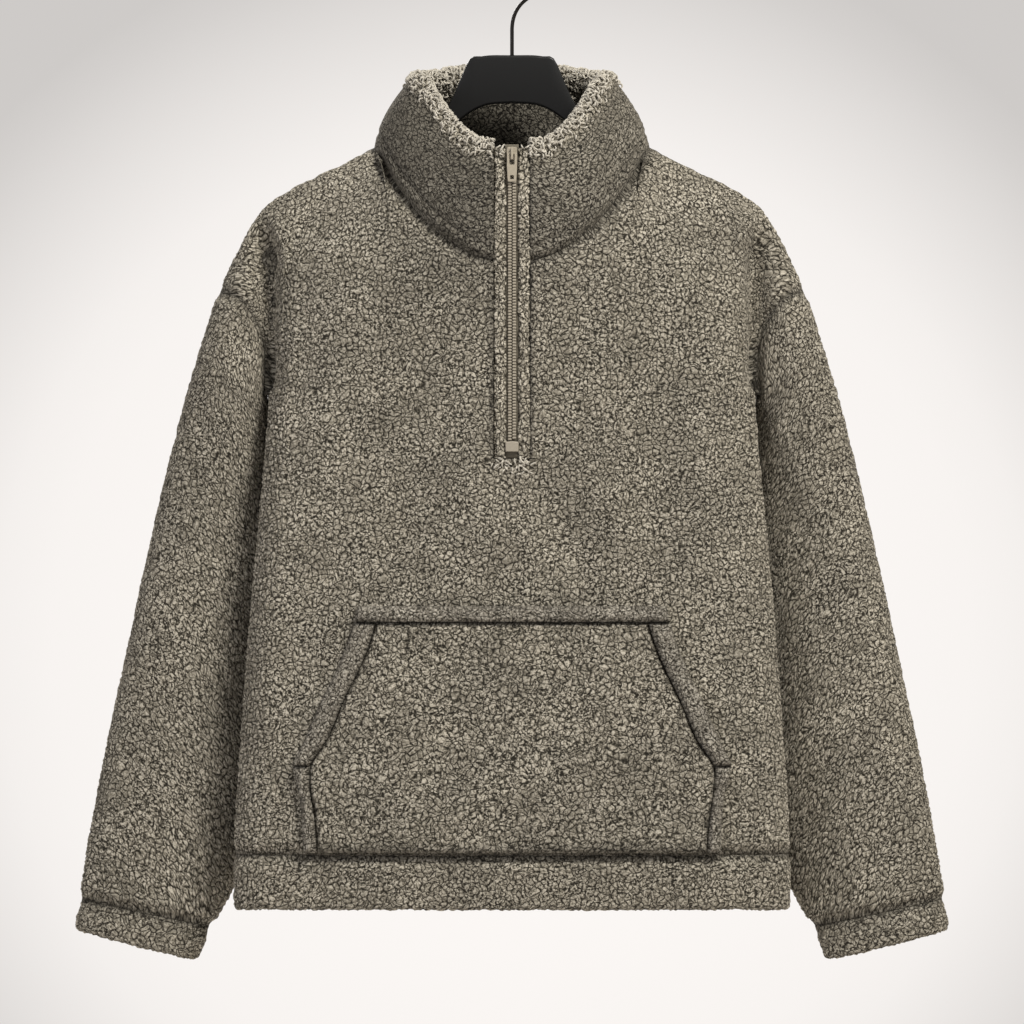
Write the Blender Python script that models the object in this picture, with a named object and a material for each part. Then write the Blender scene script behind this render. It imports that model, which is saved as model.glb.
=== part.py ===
"""Half-zip pullover of thick sherpa fleece, hanging on a black plastic hanger.

The outer skin of the worn, hanging cloth is worked out from its sizes and cut along its seams
into the panels that a maker sews together. Each panel is a wall under that skin, and panels
share their directions where they meet, so their cut edges lie face to face. Heights are
measured above the hem's lower edge, x runs to the viewer's right and y runs away from the
viewer. The part's origin is the inside of the hook's crown, where a rail holds it.
"""

import math
from collections import namedtuple

import bmesh
import bpy
import numpy as np

# Driving dimensions, in metres
FLEECE = 0.006
DOUBLE_FLEECE = 0.011
SEAM_GAP = 0.0003
CURVED_SEAM_GAP = 0.0008
LAY_GAP = 0.0005
NECK_HALF_WIDTH = 0.117
NECK_HEIGHT = 0.648
FRONT_NECK_HEIGHT = 0.547
BACK_NECK_HEIGHT = 0.632
HEM_BAND_HEIGHT = 0.049
HEM_FOLD_HEIGHT = 0.006
ARMPIT_HEIGHT = 0.440
ZIP_BOTTOM_HEIGHT = 0.383
ZIP_TOP_HEIGHT = 0.648
ZIP_SLOT_HALF = 0.0155
ZIP_GAP_HALF = 0.0060
RIM_HALF_WIDTH = 0.0850
RIM_HALF_DEPTH = 0.0620
RIM_CENTRE_Y = -0.006
RIM_FRONT_HEIGHT = 0.6460
RIM_SIDE_HEIGHT = 0.7070
RIM_BACK_HEIGHT = 0.7140
HOOK_CENTRE_HEIGHT = 0.793
HOOK_RADIUS = 0.0225
WIRE_RADIUS = 0.0016
ORIGIN_HEIGHT = HOOK_CENTRE_HEIGHT + HOOK_RADIUS - WIRE_RADIUS

# Torso: half width, how far the front and back stand out, and where the side seam lies
BodyRow = namedtuple("BodyRow", "height half_width front back side")
BODY = [
    BodyRow(0.000, 0.2365, 0.0620, 0.0520, -0.018),
    BodyRow(0.049, 0.2365, 0.0650, 0.0550, -0.020),
    BodyRow(0.150, 0.2305, 0.0670, 0.0560, -0.020),
    BodyRow(0.250, 0.2230, 0.0660, 0.0560, -0.020),
    BodyRow(0.350, 0.2140, 0.0660, 0.0560, -0.018),
    BodyRow(0.440, 0.2075, 0.0680, 0.0560, -0.010),
    BodyRow(0.520, 0.2120, 0.0700, 0.0580, -0.002),
    BodyRow(0.600, 0.2180, 0.0700, 0.0600, 0.000),
    BodyRow(0.700, 0.2180, 0.0700, 0.0600, 0.000),
]
SECTION_POWER = 2.6

# Outline seen from the front: over the shoulder and down the sleeve
OutlinePoint = namedtuple("OutlinePoint", "half_width height")
OUTLINE = [
    OutlinePoint(0.0000, 0.6660),
    OutlinePoint(0.0600, 0.6610),
    OutlinePoint(0.1170, 0.6480),
    OutlinePoint(0.1470, 0.6340),
    OutlinePoint(0.1830, 0.6170),
    OutlinePoint(0.2095, 0.6000),
    OutlinePoint(0.2227, 0.5830),
    OutlinePoint(0.2363, 0.5576),
    OutlinePoint(0.2500, 0.5260),
    OutlinePoint(0.2670, 0.4750),
    OutlinePoint(0.2883, 0.3960),
]
NECK_POINT = 2
TIP_POINT = 8
ARMHOLE_MIDDLE = OutlinePoint(0.2135, 0.4990)

# Sleeve: outer and inner edge seen from the front, the middle's y, half depth, and how much
# further back the inner edge lies
SleeveRow = namedtuple("SleeveRow", "outer_x outer_h inner_x inner_h middle depth skew")
SLEEVE = [
    SleeveRow(0.2610, 0.4930, 0.2095, 0.4230, 0.004, 0.0330, 0.006),
    SleeveRow(0.2705, 0.4620, 0.2040, 0.3980, 0.012, 0.0360, 0.012),
    SleeveRow(0.2820, 0.4250, 0.2000, 0.3640, 0.020, 0.0390, 0.014),
    SleeveRow(0.3030, 0.3400, 0.1990, 0.2950, 0.030, 0.0400, 0.012),
    SleeveRow(0.3195, 0.2660, 0.2050, 0.2280, 0.031, 0.0390, 0.011),
    SleeveRow(0.3350, 0.1940, 0.2130, 0.1600, 0.031, 0.0370, 0.010),
    SleeveRow(0.3500, 0.1240, 0.2190, 0.0940, 0.030, 0.0340, 0.009),
    SleeveRow(0.3600, 0.0700, 0.2280, 0.0440, 0.028, 0.0310, 0.008),
    SleeveRow(0.3660, 0.0340, 0.2410, 0.0090, 0.026, 0.0280, 0.006),
    SleeveRow(0.3690, 0.0090, 0.2560, -0.0150, 0.024, 0.0250, 0.004),
]
CUFF_END = SleeveRow(0.3730, -0.0130, 0.2655, -0.0400, 0.022, 0.0240, 0.002)

# Pocket: its outer edge, and the width of the band along the opening and the lower side
PocketRow = namedtuple("PocketRow", "height half_width band")
POCKET = [
    PocketRow(0.0510, 0.1760, 0.0120),
    PocketRow(0.0850, 0.1775, 0.0110),
    PocketRow(0.1060, 0.1800, 0.0100),
    PocketRow(0.1240, 0.1850, 0.0150),
    PocketRow(0.1445, 0.1755, 0.0190),
    PocketRow(0.1785, 0.1610, 0.0190),
    PocketRow(0.2125, 0.1445, 0.0190),
    PocketRow(0.2460, 0.1330, 0.0190),
    PocketRow(0.2590, 0.1300, 0.0190),
]
POCKET_CORNER = 3
POCKET_BAND_BOTTOM = 0.2450

# Largest folds, seen from the front: soft ridges (rise over 0) and troughs (under 0)
Fold = namedtuple("Fold", "x0 h0 x1 h1 width rise")
FRONT_FOLDS = [
    Fold(-0.150, 0.560, -0.160, 0.330, 0.026, 0.0030),
    Fold(-0.078, 0.480, -0.092, 0.290, 0.022, -0.0045),
    Fold(-0.030, 0.430, -0.022, 0.290, 0.018, 0.0035),
    Fold(0.018, 0.375, 0.058, 0.290, 0.015, -0.0040),
    Fold(0.050, 0.400, 0.108, 0.290, 0.016, 0.0040),
    Fold(0.128, 0.480, 0.124, 0.300, 0.020, -0.0035),
    Fold(0.165, 0.560, 0.172, 0.330, 0.022, 0.0040),
    Fold(-0.196, 0.330, -0.208, 0.110, 0.018, 0.0030),
]
POCKET_FOLDS = [
    Fold(-0.100, 0.220, -0.115, 0.100, 0.024, 0.0030),
    Fold(-0.045, 0.220, -0.055, 0.110, 0.022, -0.0025),
    Fold(-0.060, 0.085, 0.055, 0.130, 0.020, 0.0035),
    Fold(0.055, 0.130, 0.095, 0.215, 0.020, 0.0035),
    Fold(0.080, 0.100, 0.145, 0.095, 0.018, -0.0030),
]
BACK_FOLDS = [
    Fold(-0.150, 0.560, -0.165, 0.200, 0.026, 0.0030),
    Fold(-0.080, 0.520, -0.095, 0.120, 0.024, -0.0045),
    Fold(0.010, 0.560, -0.015, 0.150, 0.024, 0.0035),
    Fold(0.085, 0.480, 0.105, 0.100, 0.022, -0.0045),
    Fold(0.155, 0.540, 0.170, 0.180, 0.022, 0.0030),
]
# Sleeve folds: x is the turn round the sleeve (0 outer edge, 0.25 front) and h the way down it
SLEEVE_FOLDS = [
    Fold(0.05, 0.25, 0.30, 0.42, 0.070, -0.0035),
    Fold(0.20, 0.55, 0.42, 0.70, 0.070, 0.0030),
    Fold(0.30, 0.20, 0.10, 0.60, 0.060, 0.0030),
    Fold(0.60, 0.25, 0.85, 0.45, 0.070, -0.0035),
    Fold(0.70, 0.60, 0.90, 0.75, 0.070, 0.0030),
]

# How the panels are divided: cells up a panel, across half of it, and round a neck quarter
SIDE_ROWS = 12
ARMHOLE_ROWS = 8
COLUMNS = 17
NECK_COLUMNS = 9
SLEEVE_HEAD_ROWS = 4
SLEEVE_HEAD_RINGS = 3
SLEEVE_ROWS = 10

# How the cloth stands out: from the outline inwards, over the top of the arm, and in the crease
# where the arm meets the body
FRONT_REACH = 0.14
BACK_REACH = 0.075
REACH_POWER = 0.6
CAP_DEPTH = 0.030
CAP_REACH = 0.036
CAP_RISE = 0.055
EDGE_FADE = 0.012
CREASE_DEPTH = {"front": 0.010, "back": 0.004}
CREASE_WIDTH = 0.010
CREASE_X = 0.2050
CREASE_SWING = 0.008
CREASE_TURN_HEIGHT = 0.555
CREASE_TURN = 0.04
CREASE_TOP = 0.600
CREASE_FADE = 0.05
NECK_POWER = 1.7
ROUNDNESS = 0.85
PULL_POWER = 3
HEM_NARROWING = 0.95
HEM_BULGE = 1.02
COLLAR_BULGE = 0.004
RIM_RISE_START = math.radians(14)
RIM_RISE_TURN = math.radians(62)
SOFTEN_TIMES = 5
SAME_POINT = 2e-5
SLOPE_STEP = 0.002
FOLD_TURNS = (math.pi / 4, math.pi / 2, 3 * math.pi / 4)

# What lies on the front: how much thicker than the pocket each band and strip is
POCKET_BAND_EXTRA = 0.0015
OPENING_BAND_EXTRA = 0.0020
SIDE_STRIP_EXTRA = 0.0010
PLACKET_PROUD = 0.0004

# Zip: widths and lengths, and how far behind the front's skin each part lies
TAPE_FRONT = 0.0036
TAPE_THICKNESS = 0.0012
CHAIN_HALF = 0.0036
CHAIN_FRONT = 0.0010
STOP_HALF = 0.0056
STOP_BOTTOM = 0.3890
STOP_TOP = 0.3980
CHAIN_GUARD = 0.005
SLIDER_MIDDLE = 0.6400
SLIDER_HALF_LENGTH = 0.0055
SLIDER_HALF_WIDTH = 0.0045
SLIDER_BACK = 0.0007
SLIDER_FRONT = -0.0018
BRIDGE_HALF_WIDTH = 0.0009
BRIDGE_INSIDE = -0.0048
BRIDGE_FRONT = -0.0061
BRIDGE_HALF_LENGTH = 0.0048
BRIDGE_POST = 0.0015
BRIDGE_ROOT = 0.0005
CUTTER_HALF = 0.005
TAB_AXIS_Y = -0.0033
TAB_THICKNESS = 0.0014
TAB_HALF_WIDTH = 0.0043
TAB_LENGTH = 0.0246
TAB_BAR = 0.0016
TAB_HOLE_HALF_WIDTH = 0.0021
TAB_HOLE_LENGTH = 0.0086

# Hanger: half its outline seen from the front, with half its thickness
HangerRow = namedtuple("HangerRow", "x top bottom half")
HANGER = [
    HangerRow(0.000, 0.7265, 0.6860, 0.0055),
    HangerRow(0.026, 0.7255, 0.6826, 0.0055),
    HangerRow(0.036, 0.7230, 0.6775, 0.0055),
    HangerRow(0.044, 0.7055, 0.6715, 0.0055),
    HangerRow(0.051, 0.6900, 0.6660, 0.0055),
    HangerRow(0.062, 0.6745, 0.6530, 0.0055),
    HangerRow(0.080, 0.6560, 0.6340, 0.0055),
    HangerRow(0.100, 0.6405, 0.6190, 0.0055),
    HangerRow(0.117, 0.6320, 0.6110, 0.0055),
    HangerRow(0.147, 0.6257, 0.6040, 0.0055),
    HangerRow(0.183, 0.6085, 0.5890, 0.0050),
    HangerRow(0.200, 0.5975, 0.5830, 0.0045),
]
HANGER_EDGE = 0.0035
HOOK_START = -55
HOOK_END = 205
HOOK_STEP = 10
STEM_BEND_HEIGHT = 0.748
STEM_STRAIGHT_HEIGHT = 0.738
STEM_SWING = 0.012
HOOK_LEAD = 0.010

# Finishes: colour, roughness, metal
SHERPA = ((0.165, 0.145, 0.115), 0.95, 0.0)
TAPE_CLOTH = ((0.20, 0.175, 0.145), 0.9, 0.0)
ZIP_METAL = ((0.30, 0.27, 0.23), 0.5, 0.6)
BLACK_PLASTIC = ((0.012, 0.012, 0.012), 0.45, 0.0)
BLACK_WIRE = ((0.012, 0.012, 0.012), 0.35, 0.8)
COLLECTION = "half-zip pullover on a hanger"
CUTTERS = "cutters"


def curve_at(xs, ys, at):
    """Smooth curve through the points (xs, ys), read at the values in at."""
    xs = np.asarray(xs, float)
    ys = np.asarray(ys, float)
    at = np.clip(np.asarray(at, float), xs[0], xs[-1])
    slopes = np.gradient(ys, xs)
    left = np.clip(np.searchsorted(xs, at, side="right") - 1, 0, len(xs) - 2)
    step = xs[left + 1] - xs[left]
    t = (at - xs[left]) / step
    rise = (2 * t**3 - 3 * t**2 + 1) * ys[left] + (3 * t**2 - 2 * t**3) * ys[left + 1]
    bend = (t**3 - 2 * t**2 + t) * slopes[left] + (t**3 - t**2) * slopes[left + 1]
    return rise + bend * step


def table_at(table, column, at, key="height"):
    """One column of a table, read smoothly at any value of its key column."""
    return curve_at([getattr(r, key) for r in table], [getattr(r, column) for r in table], at)


def along_outline(at):
    """The outline's half width and height at a position counted in its points."""
    index = np.arange(len(OUTLINE))
    x = curve_at(index, [p.half_width for p in OUTLINE], at)
    return x, curve_at(index, [p.height for p in OUTLINE], at)


OUTLINE_LINE = np.stack(along_outline(np.linspace(0, len(OUTLINE) - 1, 81)), axis=1)


def inset_from_outline(x, h):
    """Distance, seen from the front, from each point to the outline."""
    point = np.stack([np.abs(x), h], axis=-1)
    best = np.full(point.shape[:-1], np.inf)
    for start, end in zip(OUTLINE_LINE[:-1], OUTLINE_LINE[1:]):
        along = end - start
        t = np.clip((point - start) @ along / (along @ along), 0, 1)
        gap = point - start - t[..., None] * along
        best = np.minimum(best, np.hypot(gap[..., 0], gap[..., 1]))
    return best


def smoothstep(t):
    t = np.clip(t, 0, 1)
    return t * t * (3 - 2 * t)


def rounded(reach):
    """Rises from 0 at a reach of 0 to 1 at a reach of 1, where it is level."""
    return 1 - (1 - np.clip(reach, 0, 1)) ** 2


def folds_at(x, h, folds):
    """Height of the soft ridges and troughs at each point."""
    total = np.zeros(np.shape(x))
    for f in folds:
        dx, dh = f.x1 - f.x0, f.h1 - f.h0
        length = math.hypot(dx, dh)
        along = ((x - f.x0) * dx + (h - f.h0) * dh) / length**2
        across = ((x - f.x0) * dh - (h - f.h0) * dx) / length
        ends = smoothstep((along + 0.2) / 0.4) * smoothstep((1.2 - along) / 0.4)
        total = total + f.rise * np.exp(-((across / f.width) ** 2)) * ends
    return total


def cloth_depth(x, h, side):
    """How far the front or back stands out from the plane of the shoulder and side seams."""
    reach = FRONT_REACH if side == "front" else BACK_REACH
    inset = inset_from_outline(x, h)
    across = np.clip(np.abs(x) / table_at(BODY, "half_width", h), 0, 1)
    bulge = np.clip(1 - across**SECTION_POWER, 0, 1) ** (1 / SECTION_POWER)
    torso = table_at(BODY, side, h) * bulge * rounded(inset / reach) ** REACH_POWER
    arm = np.sqrt(rounded((h - ARMPIT_HEIGHT) / CAP_RISE))
    cap = CAP_DEPTH * np.sqrt(rounded(inset / CAP_REACH)) * arm
    inside = np.clip(inset / EDGE_FADE, 0, 1)
    crease_x = CREASE_X + CREASE_SWING * smoothstep((h - CREASE_TURN_HEIGHT) / CREASE_TURN)
    crease = arm * inside * smoothstep((CREASE_TOP - h) / CREASE_FADE)
    trough = CREASE_DEPTH[side] * crease * np.exp(-(((np.abs(x) - crease_x) / CREASE_WIDTH) ** 2))
    folds = folds_at(x, h, FRONT_FOLDS if side == "front" else BACK_FOLDS)
    return np.maximum(torso, cap) - trough + folds * inside * np.clip(bulge / 0.5, 0, 1)


def seam_y(x, h):
    """Where the side seam's plane lies: the torso's sides turn forward, clear of the sleeves."""
    across = np.clip(np.abs(x) / table_at(BODY, "half_width", h), 0, 1)
    return table_at(BODY, "side", h) * across**4


def skin_y(x, h, side):
    """Where the front or back skin lies."""
    depth = cloth_depth(x, h, side)
    return seam_y(x, h) + (-depth if side == "front" else depth)


def neckline(angle, side):
    """Neck seam seen from the front: angle 0 is at the centre, a quarter turn at the shoulder."""
    low = FRONT_NECK_HEIGHT if side == "front" else BACK_NECK_HEIGHT
    dip = (NECK_HEIGHT - low) * np.clip(np.cos(angle), 0, 1) ** NECK_POWER
    return NECK_HALF_WIDTH * np.sin(angle), NECK_HEIGHT - dip


def neck_angles(fraction, side):
    """Angles along the neckline, from the zip's slot to the shoulder, evenly spaced by length."""
    slot_angle = math.asin(ZIP_SLOT_HALF / NECK_HALF_WIDTH)
    angles = np.linspace(slot_angle, math.pi / 2, 60)
    x, h = neckline(angles, side)
    length = np.concatenate([[0], np.cumsum(np.hypot(np.diff(x), np.diff(h)))])
    return np.interp(fraction, length / length[-1], angles)


def armhole(turn):
    """Armhole seam seen from the front: turn 0 is under the arm, 1 at the shoulder tip."""
    angle = (1 - turn) * math.pi
    under = OutlinePoint(float(table_at(BODY, "half_width", ARMPIT_HEIGHT)), ARMPIT_HEIGHT)
    tip = OUTLINE[TIP_POINT]
    through = []
    for a, b, c in zip(tip, ARMHOLE_MIDDLE, under):
        middle = (a + c) / 2
        wave = (middle - b) / 2 * np.cos(2 * angle)
        through.append((middle + b) / 2 + (a - c) / 2 * np.cos(angle) + wave)
    return through


def panel_columns():
    """How far across each column lies: the first at the centre, the second at the zip slot."""
    slot = ZIP_SLOT_HALF / float(table_at(BODY, "half_width", HEM_BAND_HEIGHT))
    t = np.linspace(0, 1, COLUMNS)
    return np.concatenate([[0.0], slot + (1 - slot) * (0.35 * t + 0.65 * np.sin(t * math.pi / 2))])


def panel_outline_net(side):
    """Half a panel seen from the front, as x and height, [row, column], from hem to shoulder."""
    across = panel_columns()
    lower = np.linspace(0, 0.79, SIDE_ROWS + 1)
    upper = 0.79 + 0.21 * np.sin(np.linspace(0, 1, ARMHOLE_ROWS + 1) * math.pi / 2)
    up = np.concatenate([lower[:-1], upper])
    hem_x = across * float(table_at(BODY, "half_width", HEM_BAND_HEIGHT))
    hem_h = np.full(len(across), HEM_BAND_HEIGHT)
    in_neck = (across - across[1]) / (across[NECK_COLUMNS] - across[1])
    angle = neck_angles(np.clip(in_neck, 0, 1), side)
    angle[0] = 0
    neck_x, neck_h = neckline(angle, side)
    past = np.clip((across - across[NECK_COLUMNS]) / (1 - across[NECK_COLUMNS]), 0, 1)
    over_x, over_h = along_outline(NECK_POINT + past * (TIP_POINT - NECK_POINT))
    shoulder = np.arange(len(across)) > NECK_COLUMNS
    top_x = np.where(shoulder, over_x, neck_x)
    top_h = np.where(shoulder, over_h, neck_h)
    seam = np.linspace(HEM_BAND_HEIGHT, ARMPIT_HEIGHT, SIDE_ROWS + 1)
    hole_x, hole_h = armhole(np.linspace(0, 1, ARMHOLE_ROWS + 1))
    side_x = np.concatenate([table_at(BODY, "half_width", seam)[:-1], hole_x])
    side_h = np.concatenate([seam[:-1], hole_h])
    middle_h = HEM_BAND_HEIGHT + up * (top_h[0] - HEM_BAND_HEIGHT)
    a, b = across[None, :], up[:, None]

    def blend(bottom, top, left, right):
        ruled = (1 - b) * bottom + b * top
        left_pull = left[:, None] - ruled[:, :1]
        right_pull = right[:, None] - ruled[:, -1:]
        return ruled + (1 - a) ** PULL_POWER * left_pull + a**PULL_POWER * right_pull

    x = blend(hem_x, top_x, np.zeros(len(up)), side_x)
    h = blend(hem_h, top_h, middle_h, side_h)
    x[:, 1] = ZIP_SLOT_HALF
    if side == "front":
        stop_row = int(np.argmin(np.abs(h[:, 1] - ZIP_BOTTOM_HEIGHT)))
        h[stop_row, :2] = ZIP_BOTTOM_HEIGHT
    return x, h


def half_skin(side):
    """The right half of a panel's outer skin, [row, column, xyz], in heights above the hem."""
    x, h = panel_outline_net(side)
    y = skin_y(x, h, side)
    y[-1, NECK_COLUMNS:] = seam_y(x[-1, NECK_COLUMNS:], h[-1, NECK_COLUMNS:])
    y[: SIDE_ROWS + 1, -1] = seam_y(x[: SIDE_ROWS + 1, -1], h[: SIDE_ROWS + 1, -1])
    return np.stack([x, y, h], axis=2)


def mirrored(skin):
    """The same skin on the other side, with its columns turned round to keep it outside out."""
    return skin[:, ::-1] * np.array([-1, 1, 1])


def panel_skin(side):
    """A whole panel's skin, its columns running so that it faces outwards."""
    right = half_skin(side)
    left = mirrored(right)
    left[:-1, 1:, 1] = skin_y(left[:-1, 1:, 0], left[:-1, 1:, 2], side)
    whole = np.concatenate([left[:, :-1], right], axis=1)
    return whole if side == "front" else whole[:, ::-1]


def ring_at(row):
    """One ring round the right sleeve: outer edge, front, inner edge and back."""
    turn = np.arange(2 * ARMHOLE_ROWS) / (2 * ARMHOLE_ROWS)
    swing = np.cos(2 * math.pi * turn)
    out = (1 + swing) / 2
    bulge = np.sign(np.sin(2 * math.pi * turn)) * np.abs(np.sin(2 * math.pi * turn)) ** ROUNDNESS
    x = row.inner_x + (row.outer_x - row.inner_x) * out
    h = row.inner_h + (row.outer_h - row.inner_h) * out
    y = row.middle - row.skew * swing - row.depth * bulge
    return np.stack([x, y, h], axis=1)


def sleeve_skin(front, back):
    """The right sleeve's skin from the armhole to the cuff seam, [row down, column round]."""
    first = np.concatenate([front[SIDE_ROWS:, -1][::-1], back[SIDE_ROWS:, 0][1:-1]])
    rings = [first] + [ring_at(row) for row in SLEEVE]
    rings = np.array(rings)
    head = np.linspace(0, SLEEVE_HEAD_RINGS, SLEEVE_HEAD_ROWS + 1)
    at = np.concatenate([head[:-1], np.linspace(SLEEVE_HEAD_RINGS, len(SLEEVE), SLEEVE_ROWS)])
    index = np.arange(len(rings))
    skin = np.empty((len(at), rings.shape[1], 3))
    for column in range(rings.shape[1]):
        for axis in range(3):
            skin[:, column, axis] = curve_at(index, rings[:, column, axis], at)
    normals = cell_normals(skin, True)
    normals /= np.linalg.norm(normals, axis=2, keepdims=True)
    turn = np.broadcast_to(np.arange(rings.shape[1]) / rings.shape[1], skin.shape[:2])
    down = np.broadcast_to((at / len(SLEEVE))[:, None], skin.shape[:2])
    fade = smoothstep(down / 0.2) * smoothstep((1 - down) / 0.1)
    return skin + normals * (folds_at(turn, down, SLEEVE_FOLDS) * fade)[..., None]


def cuff_skin(sleeve):
    """The right cuff's skin from its seam to just above its folded edge."""
    return np.linspace(sleeve[-1], ring_at(CUFF_END), 3)


def hem_skin(front, back):
    """The hem band's skin round the body from its seam down to just above its folded edge."""
    top = np.concatenate([back[0][:-1], front[0][:-1]])[::-1]
    bottom = top.copy()
    bottom[:, 1] *= HEM_NARROWING
    bottom[:, 2] = HEM_FOLD_HEIGHT
    middle = (top + bottom) / 2
    middle[:, 1] *= HEM_BULGE
    return np.array([top, middle, bottom])


def rim_point(angle):
    """The collar's upper fold: angle 0 is at the front and half a turn at the back."""
    x = RIM_HALF_WIDTH * np.sin(angle)
    y = RIM_CENTRE_Y - RIM_HALF_DEPTH * np.cos(angle)
    rise = smoothstep((angle - RIM_RISE_START) / RIM_RISE_TURN)
    back = smoothstep((angle - math.pi / 2) / (math.pi / 2))
    h = RIM_FRONT_HEIGHT + (RIM_SIDE_HEIGHT - RIM_FRONT_HEIGHT) * rise
    return np.stack([x, y, h + (RIM_BACK_HEIGHT - RIM_SIDE_HEIGHT) * back], axis=1)


def collar_skin(front, back):
    """The collar's skin from the neck seam up, round from one side of the zip to the other."""
    centre = front.shape[1] // 2
    right_front = front[-1, centre + 1 : centre + 1 + NECK_COLUMNS]
    right_back = back[-1, centre - NECK_COLUMNS + 1 : centre + 1]
    half = np.concatenate([right_front, right_back])
    start = math.asin(ZIP_SLOT_HALF / RIM_HALF_WIDTH)
    front_angle = (half[:NECK_COLUMNS, 0] - half[0, 0]) / (half[NECK_COLUMNS - 1, 0] - half[0, 0])
    front_angle = start + (1 - 2 * start / math.pi) * np.arcsin(np.clip(front_angle, 0, 1))
    back_angle = math.pi - np.arcsin(np.clip(half[NECK_COLUMNS:, 0] / NECK_HALF_WIDTH, 0, 1))
    rim = rim_point(np.concatenate([front_angle, back_angle]))
    rim[0, 0] = ZIP_SLOT_HALF
    rows = []
    for up in np.linspace(0, 1, 6):
        row = half + (rim - half) * up
        outward = row[:, :2] - np.array([0, RIM_CENTRE_Y])
        outward /= np.linalg.norm(outward, axis=1, keepdims=True)
        row[:, :2] += outward * COLLAR_BULGE * 4 * up * (1 - up)
        row[0, 0] = ZIP_SLOT_HALF
        rows.append(row)
    right = np.array(rows)
    left = mirrored(right)
    return np.concatenate([right, left[:, 1:]], axis=1)


def cell_normals(skin, around):
    """Sum, at each point, of the outward area vectors of the cells that meet there."""
    if around:
        skin = np.concatenate([skin, skin[:, :1]], axis=1)
    across = skin[1:, 1:] - skin[:-1, :-1]
    other = skin[1:, :-1] - skin[:-1, 1:]
    area = np.cross(across, other)
    total = np.zeros(skin.shape)
    for rows in (slice(None, -1), slice(1, None)):
        for columns in (slice(None, -1), slice(1, None)):
            total[rows, columns] += area
    if around:
        total[:, 0] += total[:, -1]
        total = total[:, :-1]
    return total


def shared_normals(skins, around):
    """Unit outward directions of several skins, the same wherever their points meet."""
    sums = {}
    keys = {}
    for name, skin in skins.items():
        keys[name] = np.round(skin / SAME_POINT).astype(int)
        area = cell_normals(skin, name in around)
        for key, value in zip(keys[name].reshape(-1, 3), area.reshape(-1, 3)):
            sums[tuple(key)] = sums.get(tuple(key), 0) + value
    under = skins["front"][SIDE_ROWS, -1]
    for way in (1, -1):
        key = np.round(under * np.array([way, 1, 1]) / SAME_POINT).astype(int)
        sums[tuple(key)] = np.array([0, 0, -1.0])
    normals = {}
    for name, key in keys.items():
        rows = np.array([sums[tuple(k)] for k in key.reshape(-1, 3)]).reshape(key.shape)
        normals[name] = rows / np.linalg.norm(rows, axis=2, keepdims=True)
    return normals


def softened(normals, around):
    """Directions evened out across a skin, its seams kept, so that the wall's inside is smooth."""
    normals = normals.copy()
    for _ in range(SOFTEN_TIMES):
        if around:
            side = np.roll(normals, 1, axis=1) + np.roll(normals, -1, axis=1)
            mean = side[1:-1] + normals[:-2] + normals[2:]
            normals[1:-1] += mean
        else:
            mean = normals[1:-1, :-2] + normals[1:-1, 2:] + normals[:-2, 1:-1] + normals[2:, 1:-1]
            normals[1:-1, 1:-1] += mean
        normals /= np.linalg.norm(normals, axis=2, keepdims=True)
    return normals


def level_seam(normals, plane):
    """Directions along a flat seam, turned into the seam's plane so that its edges lie flat."""
    normals -= (normals @ plane)[..., None] * plane
    normals /= np.linalg.norm(normals, axis=-1, keepdims=True)


def level_seams(skins, normals):
    """Flatten the directions along the hem seam, the cuff seams and the zip's slot."""
    for name in ("front", "back", "hem_band"):
        level_seam(normals[name][0], np.array([0, 0, 1.0]))
    for side in ("right", "left"):
        ring = skins[f"cuff_{side}"][0]
        middle = ring.mean(axis=0)
        plane = np.cross(ring[0] - middle, ring[len(ring) // 4] - middle)
        plane /= np.linalg.norm(plane)
        level_seam(normals[f"cuff_{side}"][0], plane)
        level_seam(normals[f"sleeve_{side}"][-1], plane)
    centre = skins["front"].shape[1] // 2
    across = np.array([1.0, 0, 0])
    for column in (centre - 1, centre + 1):
        level_seam(normals["front"][:, column], across)
    for column in (0, -1):
        level_seam(normals["collar"][:, column], across)


def drawn_back(points, edges):
    """A grid of points with each named edge drawn back along the cloth by half its seam's gap."""
    points = points.copy()
    ends = {
        "first_row": (np.s_[0], np.s_[1]),
        "last_row": (np.s_[-1], np.s_[-2]),
        "first_column": (np.s_[:, 0], np.s_[:, 1]),
        "last_column": (np.s_[:, -1], np.s_[:, -2]),
    }
    for name, gap in edges.items():
        edge, next_in = ends[name]
        way = points[next_in] - points[edge]
        way /= np.linalg.norm(way, axis=-1, keepdims=True)
        points[edge] += way * (gap / 2)
    return points


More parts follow.
